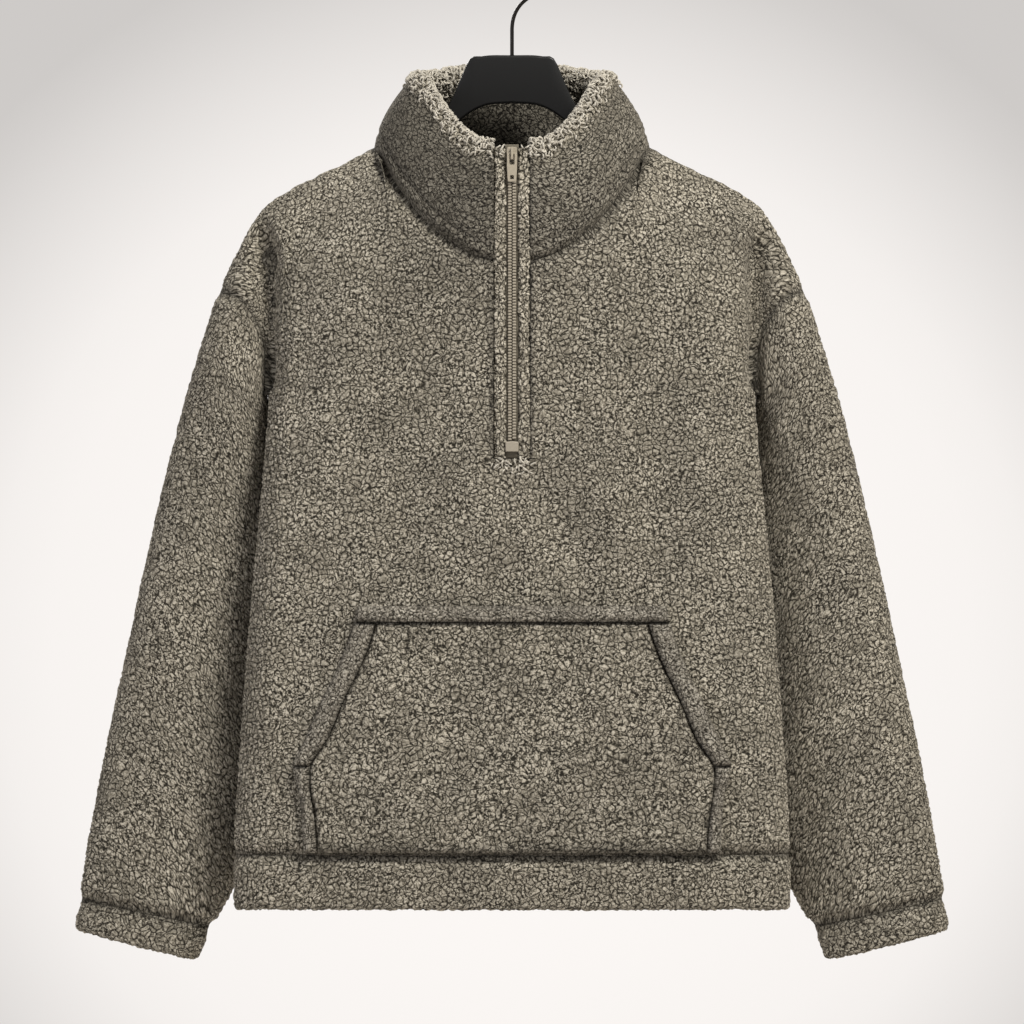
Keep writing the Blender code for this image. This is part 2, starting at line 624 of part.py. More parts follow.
def wall(outer, inner, around=False, folded=False, cut=None):
    """A closed wall between two grids of points; cut(row, column) leaves cells out.

    Its edges are split from their higher outer corner, so that edges that meet match.
    Where folded, the last row is a turned edge: a half-round from one skin to the other.
    """
    rows, columns = outer.shape[:2]
    layers = [outer, inner]
    span = columns if around else columns - 1

    def at(layer, row, column):
        return (layer * rows + row) * columns + column % columns

    faces = []
    for row in range(rows - 1):
        for column in range(span):
            if cut and cut(row, column):
                continue
            corners = [(row, column), (row, column + 1), (row + 1, column + 1), (row + 1, column)]
            faces.append([at(0, *c) for c in corners])
    edges = {(f[i], f[(i + 1) % 4]) for f in faces for i in range(4)}
    below = rows * columns
    heights = outer[..., 2].reshape(-1)
    sides = []
    for a, b in sorted(edges):
        if (b, a) in edges:
            continue
        last = (rows - 1) * columns
        if folded and last <= a and last <= b:
            continue
        if heights[a] > heights[b]:
            sides += [[b, a, b + below], [a, a + below, b + below]]
        else:
            sides += [[b, a, a + below], [b, a + below, b + below]]
    faces += [[v + below for v in reversed(f)] for f in faces]
    faces += sides
    points = [layer.reshape(-1, 3) for layer in layers]
    if folded:
        middle = (outer[-1] + inner[-1]) / 2
        half = (outer[-1] - inner[-1]) / 2
        way = outer[-1] + inner[-1] - outer[-2] - inner[-2]
        way /= np.linalg.norm(way, axis=1, keepdims=True)
        way *= np.linalg.norm(half, axis=1, keepdims=True)
        start = 2 * below
        levels = [(rows - 1) * columns]
        for turn in FOLD_TURNS:
            points.append(middle + half * math.cos(turn) + way * math.sin(turn))
            levels.append(start)
            start += columns
        levels.append(below + (rows - 1) * columns)
        for near, far in zip(levels[:-1], levels[1:]):
            for column in range(span):
                after = (column + 1) % columns
                faces.append([near + column, near + after, far + after, far + column])
        if not around:
            faces.append(list(levels))
            faces.append([level + columns - 1 for level in reversed(levels)])
    return np.concatenate(points), faces


def new_material(name, colour, roughness, metallic=0.0):
    material = bpy.data.materials.new(name)
    material.use_nodes = True
    shader = material.node_tree.nodes["Principled BSDF"]
    shader.inputs["Base Color"].default_value = (*colour, 1)
    shader.inputs["Roughness"].default_value = roughness
    shader.inputs["Metallic"].default_value = metallic
    return material


def add_object(name, mesh, finish):
    """One named sub-part in the model's collection, with its own material."""
    made = bpy.data.objects.new(name, mesh)
    bpy.data.collections[COLLECTION].objects.link(made)
    colour, roughness, metallic = finish
    made.data.materials.append(new_material(f"{name} finish", colour, roughness, metallic))
    return made


def add_points(name, points, faces, finish):
    """A sub-part from points whose heights are above the hem."""
    mesh = bpy.data.meshes.new(name)
    lowered = np.asarray(points) - np.array([0, 0, ORIGIN_HEIGHT])
    mesh.from_pydata(lowered.tolist(), [], faces)
    mesh.validate()
    mesh.shade_smooth()
    mesh.set_sharp_from_angle(angle=math.radians(50))
    return add_object(name, mesh, finish)


def add_panel(name, skin, normals, thickness, edges, **how):
    """A panel of cloth: the wall under its part of the skin, drawn back at its seams.

    The thickness is a number, or an array with a value for each row.
    """
    outer = drawn_back(skin, edges)
    inner = drawn_back(skin - normals * thickness, edges)
    return add_points(name, *wall(outer, inner, **how), SHERPA)


def laid_on_front(x, h):
    """Points of the front's skin and its outward directions, for what lies on it."""
    step = SLOPE_STEP
    point = np.stack([x, skin_y(x, h, "front"), h], axis=-1)
    slope_x = skin_y(x + step, h, "front") - skin_y(x - step, h, "front")
    slope_h = skin_y(x, h + step, "front") - skin_y(x, h - step, "front")
    across = np.stack([x * 0 + 2 * step, slope_x, h * 0], -1)
    up = np.stack([x * 0, slope_h, h * 0 + 2 * step], -1)
    normal = np.cross(across, up)
    return point, normal / np.linalg.norm(normal, axis=-1, keepdims=True)


def add_patch(name, x, h, thickness, folds):
    """A piece sewn on the front, made from the front's own points, moved out."""
    point, normal = laid_on_front(x, h)
    rise = folds_at(x, h, folds)[..., None]
    inner = point + normal * LAY_GAP
    outer = point + normal * (LAY_GAP + thickness + rise)
    return add_points(name, *wall(outer, inner), SHERPA)


def pocket_edge(h, inwards):
    """Half width of the pocket at a height, or of its panel inside the bands."""
    half = table_at(POCKET, "half_width", h)
    return half - table_at(POCKET, "band", h) * inwards


def make_pocket():
    """The pocket's panel, its top band, the slanted opening bands and the lower side strips."""
    corner = POCKET[POCKET_CORNER].height
    bottom = POCKET[0].height
    top = POCKET[-1].height
    upper = np.linspace(corner, POCKET_BAND_BOTTOM, 6)
    heights = np.concatenate([np.linspace(bottom, corner, 4), upper[1:]])
    across = np.linspace(-1, 1, 21)
    half = pocket_edge(heights, 1) - SEAM_GAP
    add_patch("pocket", half[:, None] * across, heights[:, None] + 0 * across, FLEECE, POCKET_FOLDS)
    rows = np.array([POCKET_BAND_BOTTOM + SEAM_GAP, top])
    half = pocket_edge(rows, 0)
    thickness = FLEECE + POCKET_BAND_EXTRA
    add_patch("pocket_top_band", half[:, None] * across, rows[:, None] + 0 * across, thickness, [])
    strips = {
        "opening": (corner + SEAM_GAP, POCKET_BAND_BOTTOM - SEAM_GAP, 7, OPENING_BAND_EXTRA),
        "side": (bottom, corner - SEAM_GAP, 4, SIDE_STRIP_EXTRA),
    }
    for part, (low, high, count, extra) in strips.items():
        h = np.linspace(low, high, count)
        outer, inner = pocket_edge(h, 0), pocket_edge(h, 1)
        edge = np.stack([inner + SEAM_GAP, (outer + inner) / 2, outer], axis=1)
        level = h[:, None] + 0 * edge
        add_patch(f"pocket_{part}_right", edge, level, FLEECE + extra, [])
        add_patch(f"pocket_{part}_left", -edge[:, ::-1], level, FLEECE + extra, [])


def zip_line(front, collar, stop_row, side):
    """The front's edge beside the zip, from the zip's bottom up to the collar's fold."""
    centre = front.shape[1] // 2
    edge = front[stop_row:, centre + side]
    rest = collar[1:, 0 if side == 1 else -1]
    line = np.concatenate([edge, rest])
    last_step = line[-1] - line[-2]
    top = line[-1] + last_step * (ZIP_TOP_HEIGHT - line[-1, 2]) / last_step[2]
    return np.concatenate([line, top[None]])


def strip(line, heights, x_low, x_high, front_in, back_in):
    """A strip along the zip between two x values, from front_in to back_in under the skin."""
    y = np.interp(heights, line[:, 2], line[:, 1])
    outer = np.empty((len(heights), 2, 3))
    outer[:, :, 0] = x_low, x_high
    outer[:, :, 1] = y[:, None] + front_in
    outer[:, :, 2] = heights[:, None]
    inner = outer + np.array([0, back_in - front_in, 0])
    return wall(outer, inner)


def make_zip(front, collar, stop_row):
    """The turned strips, tape, chain, bottom stop, slider and pull tab of the zip."""
    lines = {side: zip_line(front, collar, stop_row, side) for side in (-1, 1)}
    middle = (lines[-1] + lines[1]) / 2
    heights = middle[:, 2].copy()
    heights[0] += SEAM_GAP
    outer_edge = ZIP_SLOT_HALF - SEAM_GAP
    left = strip(lines[-1], heights, -outer_edge, -ZIP_GAP_HALF, -PLACKET_PROUD, FLEECE)
    add_points("placket_left", *left, SHERPA)
    right = strip(lines[1], heights, ZIP_GAP_HALF, outer_edge, -PLACKET_PROUD, FLEECE)
    add_points("placket_right", *right, SHERPA)
    half = ZIP_GAP_HALF - SEAM_GAP
    tape = strip(middle, heights, -half, half, TAPE_FRONT, TAPE_FRONT + TAPE_THICKNESS)
    add_points("zip_tape", *tape, TAPE_CLOTH)
    chain_heights = np.concatenate([[STOP_TOP + SEAM_GAP], heights[heights > STOP_TOP + CHAIN_GUARD][:-1]])
    chain = strip(middle, chain_heights, -CHAIN_HALF, CHAIN_HALF, CHAIN_FRONT, TAPE_FRONT - SEAM_GAP)
    add_points("zip_chain", *chain, ZIP_METAL)
    stop_heights = np.array([STOP_BOTTOM, STOP_TOP])
    stop = strip(middle, stop_heights, -STOP_HALF, STOP_HALF, 0.0, TAPE_FRONT - SEAM_GAP)
    add_points("zip_stop", *stop, TAPE_CLOTH)
    y = float(np.interp(SLIDER_MIDDLE - SLIDER_HALF_LENGTH, middle[:, 2], middle[:, 1]))
    make_slider(y)
    make_pull_tab(y + TAB_AXIS_Y)


def box_mesh(low, high):
    """A bmesh with one box between two corners."""
    made = bmesh.new()
    bmesh.ops.create_cube(made, size=1)
    low, high = np.array(low), np.array(high)
    bmesh.ops.scale(made, vec=high - low, verts=made.verts)
    bmesh.ops.translate(made, vec=(low + high) / 2, verts=made.verts)
    return made


def with_hole(name, body, hole, finish, origin):
    """A box of metal with a box-shaped hole cut through it."""
    pieces = []
    for piece_name, (low, high) in ((name, body), (f"{name} hole", hole)):
        shape = box_mesh(low, high)
        mesh = bpy.data.meshes.new(piece_name)
        shape.to_mesh(mesh)
        shape.free()
        pieces.append(mesh)
    made = add_object(name, pieces[0], finish)
    cutter = bpy.data.objects.new(f"{name} hole", pieces[1])
    bpy.data.collections[CUTTERS].objects.link(cutter)
    for item in (made, cutter):
        item.location = origin
    cutter.hide_render = True
    cutter.display_type = "WIRE"
    cut = made.modifiers.new("hole", "BOOLEAN")
    cut.object = cutter
    cut.operation = "DIFFERENCE"
    cut.solver = "EXACT"
    return made


def make_slider(y):
    """The slider: a plate over the chain and a bridge that the pull tab hangs from."""
    base = add_object("zip_slider", bpy.data.meshes.new("zip_slider"), ZIP_METAL)
    low = (-SLIDER_HALF_WIDTH, SLIDER_FRONT, -SLIDER_HALF_LENGTH)
    plate = box_mesh(low, (SLIDER_HALF_WIDTH, SLIDER_BACK, SLIDER_HALF_LENGTH))
    plate.to_mesh(base.data)
    plate.free()
    base.location = (0, y, SLIDER_MIDDLE - ORIGIN_HEIGHT)
    low = (-BRIDGE_HALF_WIDTH, BRIDGE_FRONT, -BRIDGE_HALF_LENGTH)
    bridge = box_mesh(low, (BRIDGE_HALF_WIDTH, SLIDER_FRONT + BRIDGE_ROOT, BRIDGE_HALF_LENGTH))
    inside = BRIDGE_HALF_LENGTH - BRIDGE_POST
    gap = box_mesh((-CUTTER_HALF, BRIDGE_INSIDE, -inside), (CUTTER_HALF, SLIDER_FRONT, inside))
    for name, shape, operation in (("bridge", bridge, "UNION"), ("bridge gap", gap, "DIFFERENCE")):
        mesh = bpy.data.meshes.new(name)
        shape.to_mesh(mesh)
        shape.free()
        tool = bpy.data.objects.new(name, mesh)
        bpy.data.collections[CUTTERS].objects.link(tool)
        tool.location = base.location
        tool.hide_render = True
        tool.display_type = "WIRE"
        step = base.modifiers.new(name, "BOOLEAN")
        step.object = tool
        step.operation = operation
        step.solver = "EXACT"


def make_pull_tab(y):
    """The pull tab, its crossbar on the hinge's axis, hanging straight down."""
    top = TAB_BAR / 2
    half = TAB_THICKNESS / 2
    body = (-TAB_HALF_WIDTH, -half, top - TAB_LENGTH), (TAB_HALF_WIDTH, half, top)
    hole_top = top - TAB_BAR
    low = (-TAB_HOLE_HALF_WIDTH, -CUTTER_HALF, hole_top - TAB_HOLE_LENGTH)
    hole = low, (TAB_HOLE_HALF_WIDTH, CUTTER_HALF, hole_top)
    with_hole("zip_pull_tab", body, hole, ZIP_METAL, (0, y, SLIDER_MIDDLE - ORIGIN_HEIGHT))


def make_hanger():
    """The hanger's body: a smooth bar whose depth changes along it, with its edges taken off."""
    rows = [HangerRow(-r.x, *r[1:]) for r in HANGER[:0:-1]] + HANGER
    sections = []
    for r in rows:
        narrow = r.half - HANGER_EDGE
        corners = [
            (-narrow, r.bottom),
            (narrow, r.bottom),
            (r.half, r.bottom + HANGER_EDGE),
            (r.half, r.top - HANGER_EDGE),
            (narrow, r.top),
            (-narrow, r.top),
            (-r.half, r.top - HANGER_EDGE),
            (-r.half, r.bottom + HANGER_EDGE),
        ]
        sections.append([(r.x, y, h) for y, h in corners])
    count = len(sections[0])
    faces = []
    for row in range(len(sections) - 1):
        for corner in range(count):
            near = row * count + corner
            after = row * count + (corner + 1) % count
            faces.append([near, after, after + count, near + count])
    faces.append(list(range(count))[::-1])
    faces.append([(len(sections) - 1) * count + corner for corner in range(count)])
    add_points("hanger", np.concatenate(sections), faces, BLACK_PLASTIC)


def hook_path():
    """The hook's centre line: straight up, a swing to the right, then round over the rail."""
    start = math.radians(HOOK_START)
    centre = np.array([0, HOOK_CENTRE_HEIGHT])
    joins = centre + HOOK_RADIUS * np.array([math.cos(start), math.sin(start)])
    way = np.array([-math.sin(start), math.cos(start)])
    bend = np.array([0, STEM_BEND_HEIGHT])
    corners = [bend, bend + np.array([0, STEM_SWING]), joins - way * HOOK_LEAD, joins]
    path = [np.array([0, HANGER[0].top + SEAM_GAP]), np.array([0, STEM_STRAIGHT_HEIGHT])]
    for t in np.linspace(0, 1, 7)[:-1]:
        weights = ((1 - t) ** 3, 3 * t * (1 - t) ** 2, 3 * t * t * (1 - t), t**3)
        path.append(sum(w * c for w, c in zip(weights, corners)))
    for degrees in range(HOOK_START, HOOK_END + 1, HOOK_STEP):
        turn = math.radians(degrees)
        path.append(centre + HOOK_RADIUS * np.array([math.cos(turn), math.sin(turn)]))
    return path


def make_hook():
    """The hook: one bent steel wire whose crown's inside is the part's origin."""
    curve = bpy.data.curves.new("hanger_hook", "CURVE")
    curve.dimensions = "3D"
    curve.bevel_depth = WIRE_RADIUS
    curve.bevel_resolution = 2
    curve.use_fill_caps = True
    path = hook_path()
    spline = curve.splines.new("POLY")
    spline.points.add(len(path) - 1)
    for point, (x, h) in zip(spline.points, path):
        point.co = (x, 0, h - ORIGIN_HEIGHT, 1)
    add_object("hanger_hook", curve, BLACK_WIRE)


def main():
    for old in list(bpy.data.objects):
        bpy.data.objects.remove(old, do_unlink=True)
    for name in (COLLECTION, CUTTERS):
        bpy.context.scene.collection.children.link(bpy.data.collections.new(name))
    front, back = panel_skin("front"), panel_skin("back")
    sleeve = sleeve_skin(front, back)
    cuff = cuff_skin(sleeve)
    skins = {
        "front": front,
        "back": back,
        "collar": collar_skin(front, back),
        "hem_band": hem_skin(front, back),
        "sleeve_right": sleeve,
        "sleeve_left": mirrored(sleeve),
        "cuff_right": cuff,
        "cuff_left": mirrored(cuff),
    }
    rings = {name for name in skins if name not in ("front", "back", "collar")}
    normals = shared_normals(skins, rings)
    normals = {name: softened(normal, name in rings) for name, normal in normals.items()}
    level_seams(skins, normals)
    centre = front.shape[1] // 2
    stop_row = int(np.argmin(np.abs(front[:, centre + 1, 2] - ZIP_BOTTOM_HEIGHT)))

    def in_zip_slot(row, column):
        return row >= stop_row and centre - 1 <= column <= centre

    edges = {
        "first_row": SEAM_GAP,
        "last_row": CURVED_SEAM_GAP,
        "first_column": CURVED_SEAM_GAP,
        "last_column": CURVED_SEAM_GAP,
    }
    add_panel("front", front, normals["front"], FLEECE, edges, cut=in_zip_slot)
    add_panel("back", back, normals["back"], FLEECE, edges)
    for name in ("sleeve_right", "sleeve_left"):
        edges = {"first_row": CURVED_SEAM_GAP, "last_row": SEAM_GAP}
        add_panel(name, skins[name], normals[name], FLEECE, edges, around=True)
    for name in ("collar", "hem_band", "cuff_right", "cuff_left"):
        edges = {"first_row": CURVED_SEAM_GAP if name == "collar" else SEAM_GAP}
        thickness = np.full((len(skins[name]), 1, 1), DOUBLE_FLEECE)
        if name == "collar":
            thickness[0] = FLEECE
        add_panel(name, skins[name], normals[name], thickness, edges, around=name in rings, folded=True)
    make_pocket()
    make_zip(front, skins["collar"], stop_row)
    make_hanger()
    make_hook()


main()
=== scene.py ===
# %% [markdown]
# # A sherpa fleece pullover on its hanger
# This script dresses the plain solids of the CAD model. Each cloth solid is covered by a finer
# shell of the same form, so the finish is made in Blender while the sizes stay those of the
# model.

# %% Load the frame
import math
from collections import namedtuple

import bmesh
import bpy
import numpy as np
from mathutils import Matrix, Vector
from mathutils.kdtree import KDTree


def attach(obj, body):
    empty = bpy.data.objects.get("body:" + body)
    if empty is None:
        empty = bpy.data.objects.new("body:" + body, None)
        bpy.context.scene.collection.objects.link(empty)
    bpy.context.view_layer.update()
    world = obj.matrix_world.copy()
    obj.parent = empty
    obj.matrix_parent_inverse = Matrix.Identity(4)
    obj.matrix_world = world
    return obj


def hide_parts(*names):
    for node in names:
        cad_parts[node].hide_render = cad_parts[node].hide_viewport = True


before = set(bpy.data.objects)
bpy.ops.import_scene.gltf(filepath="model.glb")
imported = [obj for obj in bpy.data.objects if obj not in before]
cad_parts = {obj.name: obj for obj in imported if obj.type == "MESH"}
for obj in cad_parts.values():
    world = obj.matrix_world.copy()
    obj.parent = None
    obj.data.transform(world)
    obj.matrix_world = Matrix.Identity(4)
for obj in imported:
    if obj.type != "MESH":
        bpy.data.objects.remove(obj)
bpy.context.view_layer.update()
GARMENT, ZIP_PULL = "garment", "zip_pull"

# %% [markdown]
# ## The pullover's measurements
# A pattern cutter works from a few lengths. Heights are counted up from the lower edge of the
# hem band, x runs to the viewer's right, and y runs away from the viewer. The tables give the
# body and the sleeve at a few heights; smooth curves are drawn through them. The main folds are
# soft ridges and troughs, each a line from one place to another.

# %% Measurements of the cut
ORIGIN_HEIGHT = 0.8139
FLEECE = 0.006
DOUBLE_FLEECE = 0.011
LAY_GAP = 0.0005
NECK_HALF_WIDTH = 0.117
NECK_HEIGHT = 0.648
NECK_POWER = 1.7
FRONT_NECK_HEIGHT = 0.547
BACK_NECK_HEIGHT = 0.632
HEM_BAND_HEIGHT = 0.049
HEM_FOLD_HEIGHT = 0.006
ARMPIT_HEIGHT = 0.440
ZIP_BOTTOM_HEIGHT = 0.383
ZIP_TOP_HEIGHT = 0.648
ZIP_SLOT_HALF = 0.0155
ZIP_GAP_HALF = 0.0060
RIM_HALF_WIDTH = 0.0850
RIM_HALF_DEPTH = 0.0620
RIM_CENTRE_Y = -0.006
RIM_FRONT_HEIGHT = 0.6460
RIM_SIDE_HEIGHT = 0.7070
RIM_BACK_HEIGHT = 0.7165
RIM_RISE_START = math.radians(14)
RIM_RISE_TURN = math.radians(62)
COLLAR_BULGE = 0.004
COLLAR_PUFF = 0.002

BodyRow = namedtuple("BodyRow", "height half_width front back side")
BODY = [
    BodyRow(0.000, 0.2365, 0.0620, 0.0520, -0.018),
    BodyRow(0.049, 0.2365, 0.0650, 0.0550, -0.020),
    BodyRow(0.150, 0.2305, 0.0670, 0.0560, -0.020),
    BodyRow(0.250, 0.2230, 0.0660, 0.0560, -0.020),
    BodyRow(0.350, 0.2140, 0.0660, 0.0560, -0.018),
    BodyRow(0.440, 0.2075, 0.0680, 0.0560, -0.010),
    BodyRow(0.520, 0.2120, 0.0700, 0.0580, -0.002),
    BodyRow(0.600, 0.2180, 0.0700, 0.0600, 0.000),
    BodyRow(0.700, 0.2180, 0.0700, 0.0600, 0.000),
]
OutlinePoint = namedtuple("OutlinePoint", "half_width height")
OUTLINE = [
    OutlinePoint(0.0000, 0.6660),
    OutlinePoint(0.0600, 0.6610),
    OutlinePoint(0.1170, 0.6480),
    OutlinePoint(0.1470, 0.6340),
    OutlinePoint(0.1830, 0.6170),
    OutlinePoint(0.2095, 0.6000),
    OutlinePoint(0.2227, 0.5830),
    OutlinePoint(0.2363, 0.5576),
    OutlinePoint(0.2500, 0.5260),
    OutlinePoint(0.2670, 0.4750),
    OutlinePoint(0.2883, 0.3960),
]
NECK_POINT, TIP_POINT = 2, 8
ARMHOLE_MIDDLE = OutlinePoint(0.2135, 0.4990)
SleeveRow = namedtuple("SleeveRow", "outer_x outer_h inner_x inner_h middle depth skew")
SLEEVE = [
    SleeveRow(0.2610, 0.4930, 0.2060, 0.4230, 0.004, 0.0330, 0.006),
    SleeveRow(0.2705, 0.4620, 0.2030, 0.3980, 0.012, 0.0360, 0.012),
    SleeveRow(0.2820, 0.4250, 0.2000, 0.3640, 0.020, 0.0390, 0.014),
    SleeveRow(0.3030, 0.3400, 0.1990, 0.2950, 0.030, 0.0400, 0.012),
    SleeveRow(0.3195, 0.2660, 0.2050, 0.2280, 0.031, 0.0390, 0.011),
    SleeveRow(0.3350, 0.1940, 0.2130, 0.1600, 0.031, 0.0370, 0.010),
    SleeveRow(0.3500, 0.1240, 0.2190, 0.0940, 0.030, 0.0340, 0.009),
    SleeveRow(0.3600, 0.0700, 0.2280, 0.0440, 0.028, 0.0310, 0.008),
    SleeveRow(0.3660, 0.0340, 0.2410, 0.0090, 0.026, 0.0280, 0.006),
    SleeveRow(0.3690, 0.0090, 0.2560, -0.0150, 0.024, 0.0250, 0.004),
]
CUFF_END = SleeveRow(0.3730, -0.0130, 0.2655, -0.0400, 0.022, 0.0240, 0.002)
PocketRow = namedtuple("PocketRow", "height half_width band")
POCKET = [
    PocketRow(0.0510, 0.1760, 0.0120),
    PocketRow(0.0850, 0.1775, 0.0110),
    PocketRow(0.1060, 0.1800, 0.0100),
    PocketRow(0.1240, 0.1850, 0.0150),
    PocketRow(0.1445, 0.1755, 0.0190),
    PocketRow(0.1785, 0.1610, 0.0190),
    PocketRow(0.2125, 0.1445, 0.0190),
    PocketRow(0.2460, 0.1330, 0.0190),
    PocketRow(0.2590, 0.1300, 0.0190),
]
POCKET_CORNER = 3
POCKET_BAND_BOTTOM = 0.2450
Fold = namedtuple("Fold", "x0 h0 x1 h1 width rise")
FOLDS = {
    "front": [
        Fold(-0.150, 0.560, -0.160, 0.330, 0.026, 0.0030),
        Fold(-0.078, 0.480, -0.092, 0.290, 0.022, -0.0045),
        Fold(-0.030, 0.430, -0.022, 0.290, 0.018, 0.0035),
        Fold(0.018, 0.375, 0.058, 0.290, 0.015, -0.0040),
        Fold(0.050, 0.400, 0.108, 0.290, 0.016, 0.0040),
        Fold(0.128, 0.480, 0.124, 0.300, 0.020, -0.0035),
        Fold(0.165, 0.560, 0.172, 0.330, 0.022, 0.0040),
        Fold(-0.196, 0.330, -0.208, 0.110, 0.018, 0.0030),
    ],
    "back": [
        Fold(-0.150, 0.560, -0.165, 0.200, 0.026, 0.0030),
        Fold(-0.080, 0.520, -0.095, 0.120, 0.024, -0.0045),
        Fold(0.010, 0.560, -0.015, 0.150, 0.024, 0.0035),
        Fold(0.085, 0.480, 0.105, 0.100, 0.022, -0.0045),
        Fold(0.155, 0.540, 0.170, 0.180, 0.022, 0.0030),
    ],
    "pocket": [
        Fold(-0.100, 0.220, -0.115, 0.100, 0.024, 0.0030),
        Fold(-0.045, 0.220, -0.055, 0.110, 0.022, -0.0025),
        Fold(-0.060, 0.085, 0.055, 0.130, 0.020, 0.0035),
        Fold(0.055, 0.130, 0.095, 0.215, 0.020, 0.0035),
        Fold(0.080, 0.100, 0.145, 0.095, 0.018, -0.0030),
    ],
    "sleeve": [
        Fold(0.05, 0.25, 0.30, 0.42, 0.070, -0.0035),
        Fold(0.20, 0.55, 0.42, 0.70, 0.070, 0.0030),
        Fold(0.30, 0.20, 0.10, 0.60, 0.060, 0.0030),
        Fold(0.60, 0.25, 0.85, 0.45, 0.070, -0.0035),
        Fold(0.70, 0.60, 0.90, 0.75, 0.070, 0.0030),
    ],
}
print(len(BODY), "body rows and", len(SLEEVE), "sleeve rows")

# %% [markdown]
# ## Smooth curves through a few measurements
# A row of measurements is only a handful of numbers. A cubic curve through them gives the same
# value at each and bends softly in between, as cloth does.

# %% Curves and tables
def curve_at(xs, ys, at):
    """Smooth curve through the points (xs, ys), read at the values in at."""
    xs = np.asarray(xs, float)
    ys = np.asarray(ys, float)
    at = np.clip(np.asarray(at, float), xs[0], xs[-1])
    slopes = np.gradient(ys, xs)
    left = np.clip(np.searchsorted(xs, at, side="right") - 1, 0, len(xs) - 2)
    step = xs[left + 1] - xs[left]
    t = (at - xs[left]) / step
    rise = (2 * t**3 - 3 * t**2 + 1) * ys[left] + (3 * t**2 - 2 * t**3) * ys[left + 1]
    bend = (t**3 - 2 * t**2 + t) * slopes[left] + (t**3 - t**2) * slopes[left + 1]
    return rise + bend * step


def table_at(table, column, at):
    """One column of a table, read smoothly at any height."""
    return curve_at([r.height for r in table], [getattr(r, column) for r in table], at)


def smoothstep(t):
    t = np.clip(t, 0, 1)
    return t * t * (3 - 2 * t)


def rounded(reach):
    """Rises from 0 at a reach of 0 to 1 at a reach of 1, where it is level."""
    return 1 - (1 - np.clip(reach, 0, 1)) ** 2


def unit(vectors):
    return vectors / np.linalg.norm(vectors, axis=-1, keepdims=True)


def folds_at(x, h, folds):
    """Height of the soft ridges and troughs at each point."""
    total = np.zeros(np.shape(x))
    for f in folds:
        dx, dh = f.x1 - f.x0, f.h1 - f.h0
        length = math.hypot(dx, dh)
        along = ((x - f.x0) * dx + (h - f.h0) * dh) / length**2
        across = ((x - f.x0) * dh - (h - f.h0) * dx) / length
        ends = smoothstep((along + 0.2) / 0.4) * smoothstep((1.2 - along) / 0.4)
        total = total + f.rise * np.exp(-((across / f.width) ** 2)) * ends
    return total


print("half width at the chest:", round(float(table_at(BODY, "half_width", 0.5)), 4), "m")

# %% [markdown]
# ## The hanging form
# Seen from the front, the pullover has one outline over the shoulders and down the arms. The
# cloth stands out from the plane of its side seams, most in the middle and not at all at the
# outline. The arm's cap keeps its own roundness, with a crease between it and the body.

# %% Depth of the cloth
SECTION_POWER = 2.6
REACH = {"front": 0.14, "back": 0.075}
REACH_POWER = 0.6
CAP_DEPTH, CAP_REACH, CAP_RISE = 0.030, 0.036, 0.055
EDGE_FADE = 0.012
CREASE_DEPTH = {"front": 0.021, "back": 0.006}
CREASE_X, CREASE_SWING = 0.2040, 0.008
CREASE_WIDTH = (0.0050, 0.0160)
CREASE_LIP, CREASE_LIP_AT, CREASE_LIP_WIDTH = 0.003, 0.015, 0.010
CREASE_TURN_HEIGHT, CREASE_TURN = 0.555, 0.04
CREASE_TOP, CREASE_FADE = 0.600, 0.05


def along_outline(at):
    """The outline's half width and height at a position counted in its points."""
    index = np.arange(len(OUTLINE))
    x = curve_at(index, [p.half_width for p in OUTLINE], at)
    return x, curve_at(index, [p.height for p in OUTLINE], at)


OUTLINE_LINE = np.stack(along_outline(np.linspace(0, len(OUTLINE) - 1, 81)), axis=1)


def inset_from_outline(x, h):
    """Distance, seen from the front, from each point to the outline."""
    point = np.stack([np.abs(x), h], axis=-1)
    best = np.full(point.shape[:-1], np.inf)
    for start, end in zip(OUTLINE_LINE[:-1], OUTLINE_LINE[1:]):
        along = end - start
        t = np.clip((point - start) @ along / (along @ along), 0, 1)
        gap = point - start - t[..., None] * along
        best = np.minimum(best, np.hypot(gap[..., 0], gap[..., 1]))
    return best


def cloth_depth(x, h, side):
    """How far the front or back stands out from the plane of the shoulder and side seams."""
    inset = inset_from_outline(x, h)
    across = np.clip(np.abs(x) / table_at(BODY, "half_width", h), 0, 1)
    bulge = np.clip(1 - across**SECTION_POWER, 0, 1) ** (1 / SECTION_POWER)
    torso = table_at(BODY, side, h) * bulge * rounded(inset / REACH[side]) ** REACH_POWER
    arm = np.sqrt(rounded((h - ARMPIT_HEIGHT) / CAP_RISE))
    cap = CAP_DEPTH * np.sqrt(rounded(inset / CAP_REACH)) * arm
    inside = np.clip(inset / EDGE_FADE, 0, 1)
    crease_x = CREASE_X + CREASE_SWING * smoothstep((h - CREASE_TURN_HEIGHT) / CREASE_TURN)
    crease = arm * inside * smoothstep((CREASE_TOP - h) / CREASE_FADE)
    past = np.abs(x) - crease_x
    width = np.where(past < 0, *CREASE_WIDTH)
    lip = CREASE_LIP * np.exp(-(((past + CREASE_LIP_AT) / CREASE_LIP_WIDTH) ** 2))
    trough = crease * (CREASE_DEPTH[side] * np.exp(-((past / width) ** 2)) - lip)
    folds = folds_at(x, h, FOLDS[side]) * inside * np.clip(bulge / 0.5, 0, 1)
    return np.maximum(torso, cap) - trough + folds


def seam_y(x, h):
    """Where the side seam's plane lies: the torso's sides turn forward, clear of the sleeves."""
    across = np.clip(np.abs(x) / table_at(BODY, "half_width", h), 0, 1)
    return table_at(BODY, "side", h) * across**4


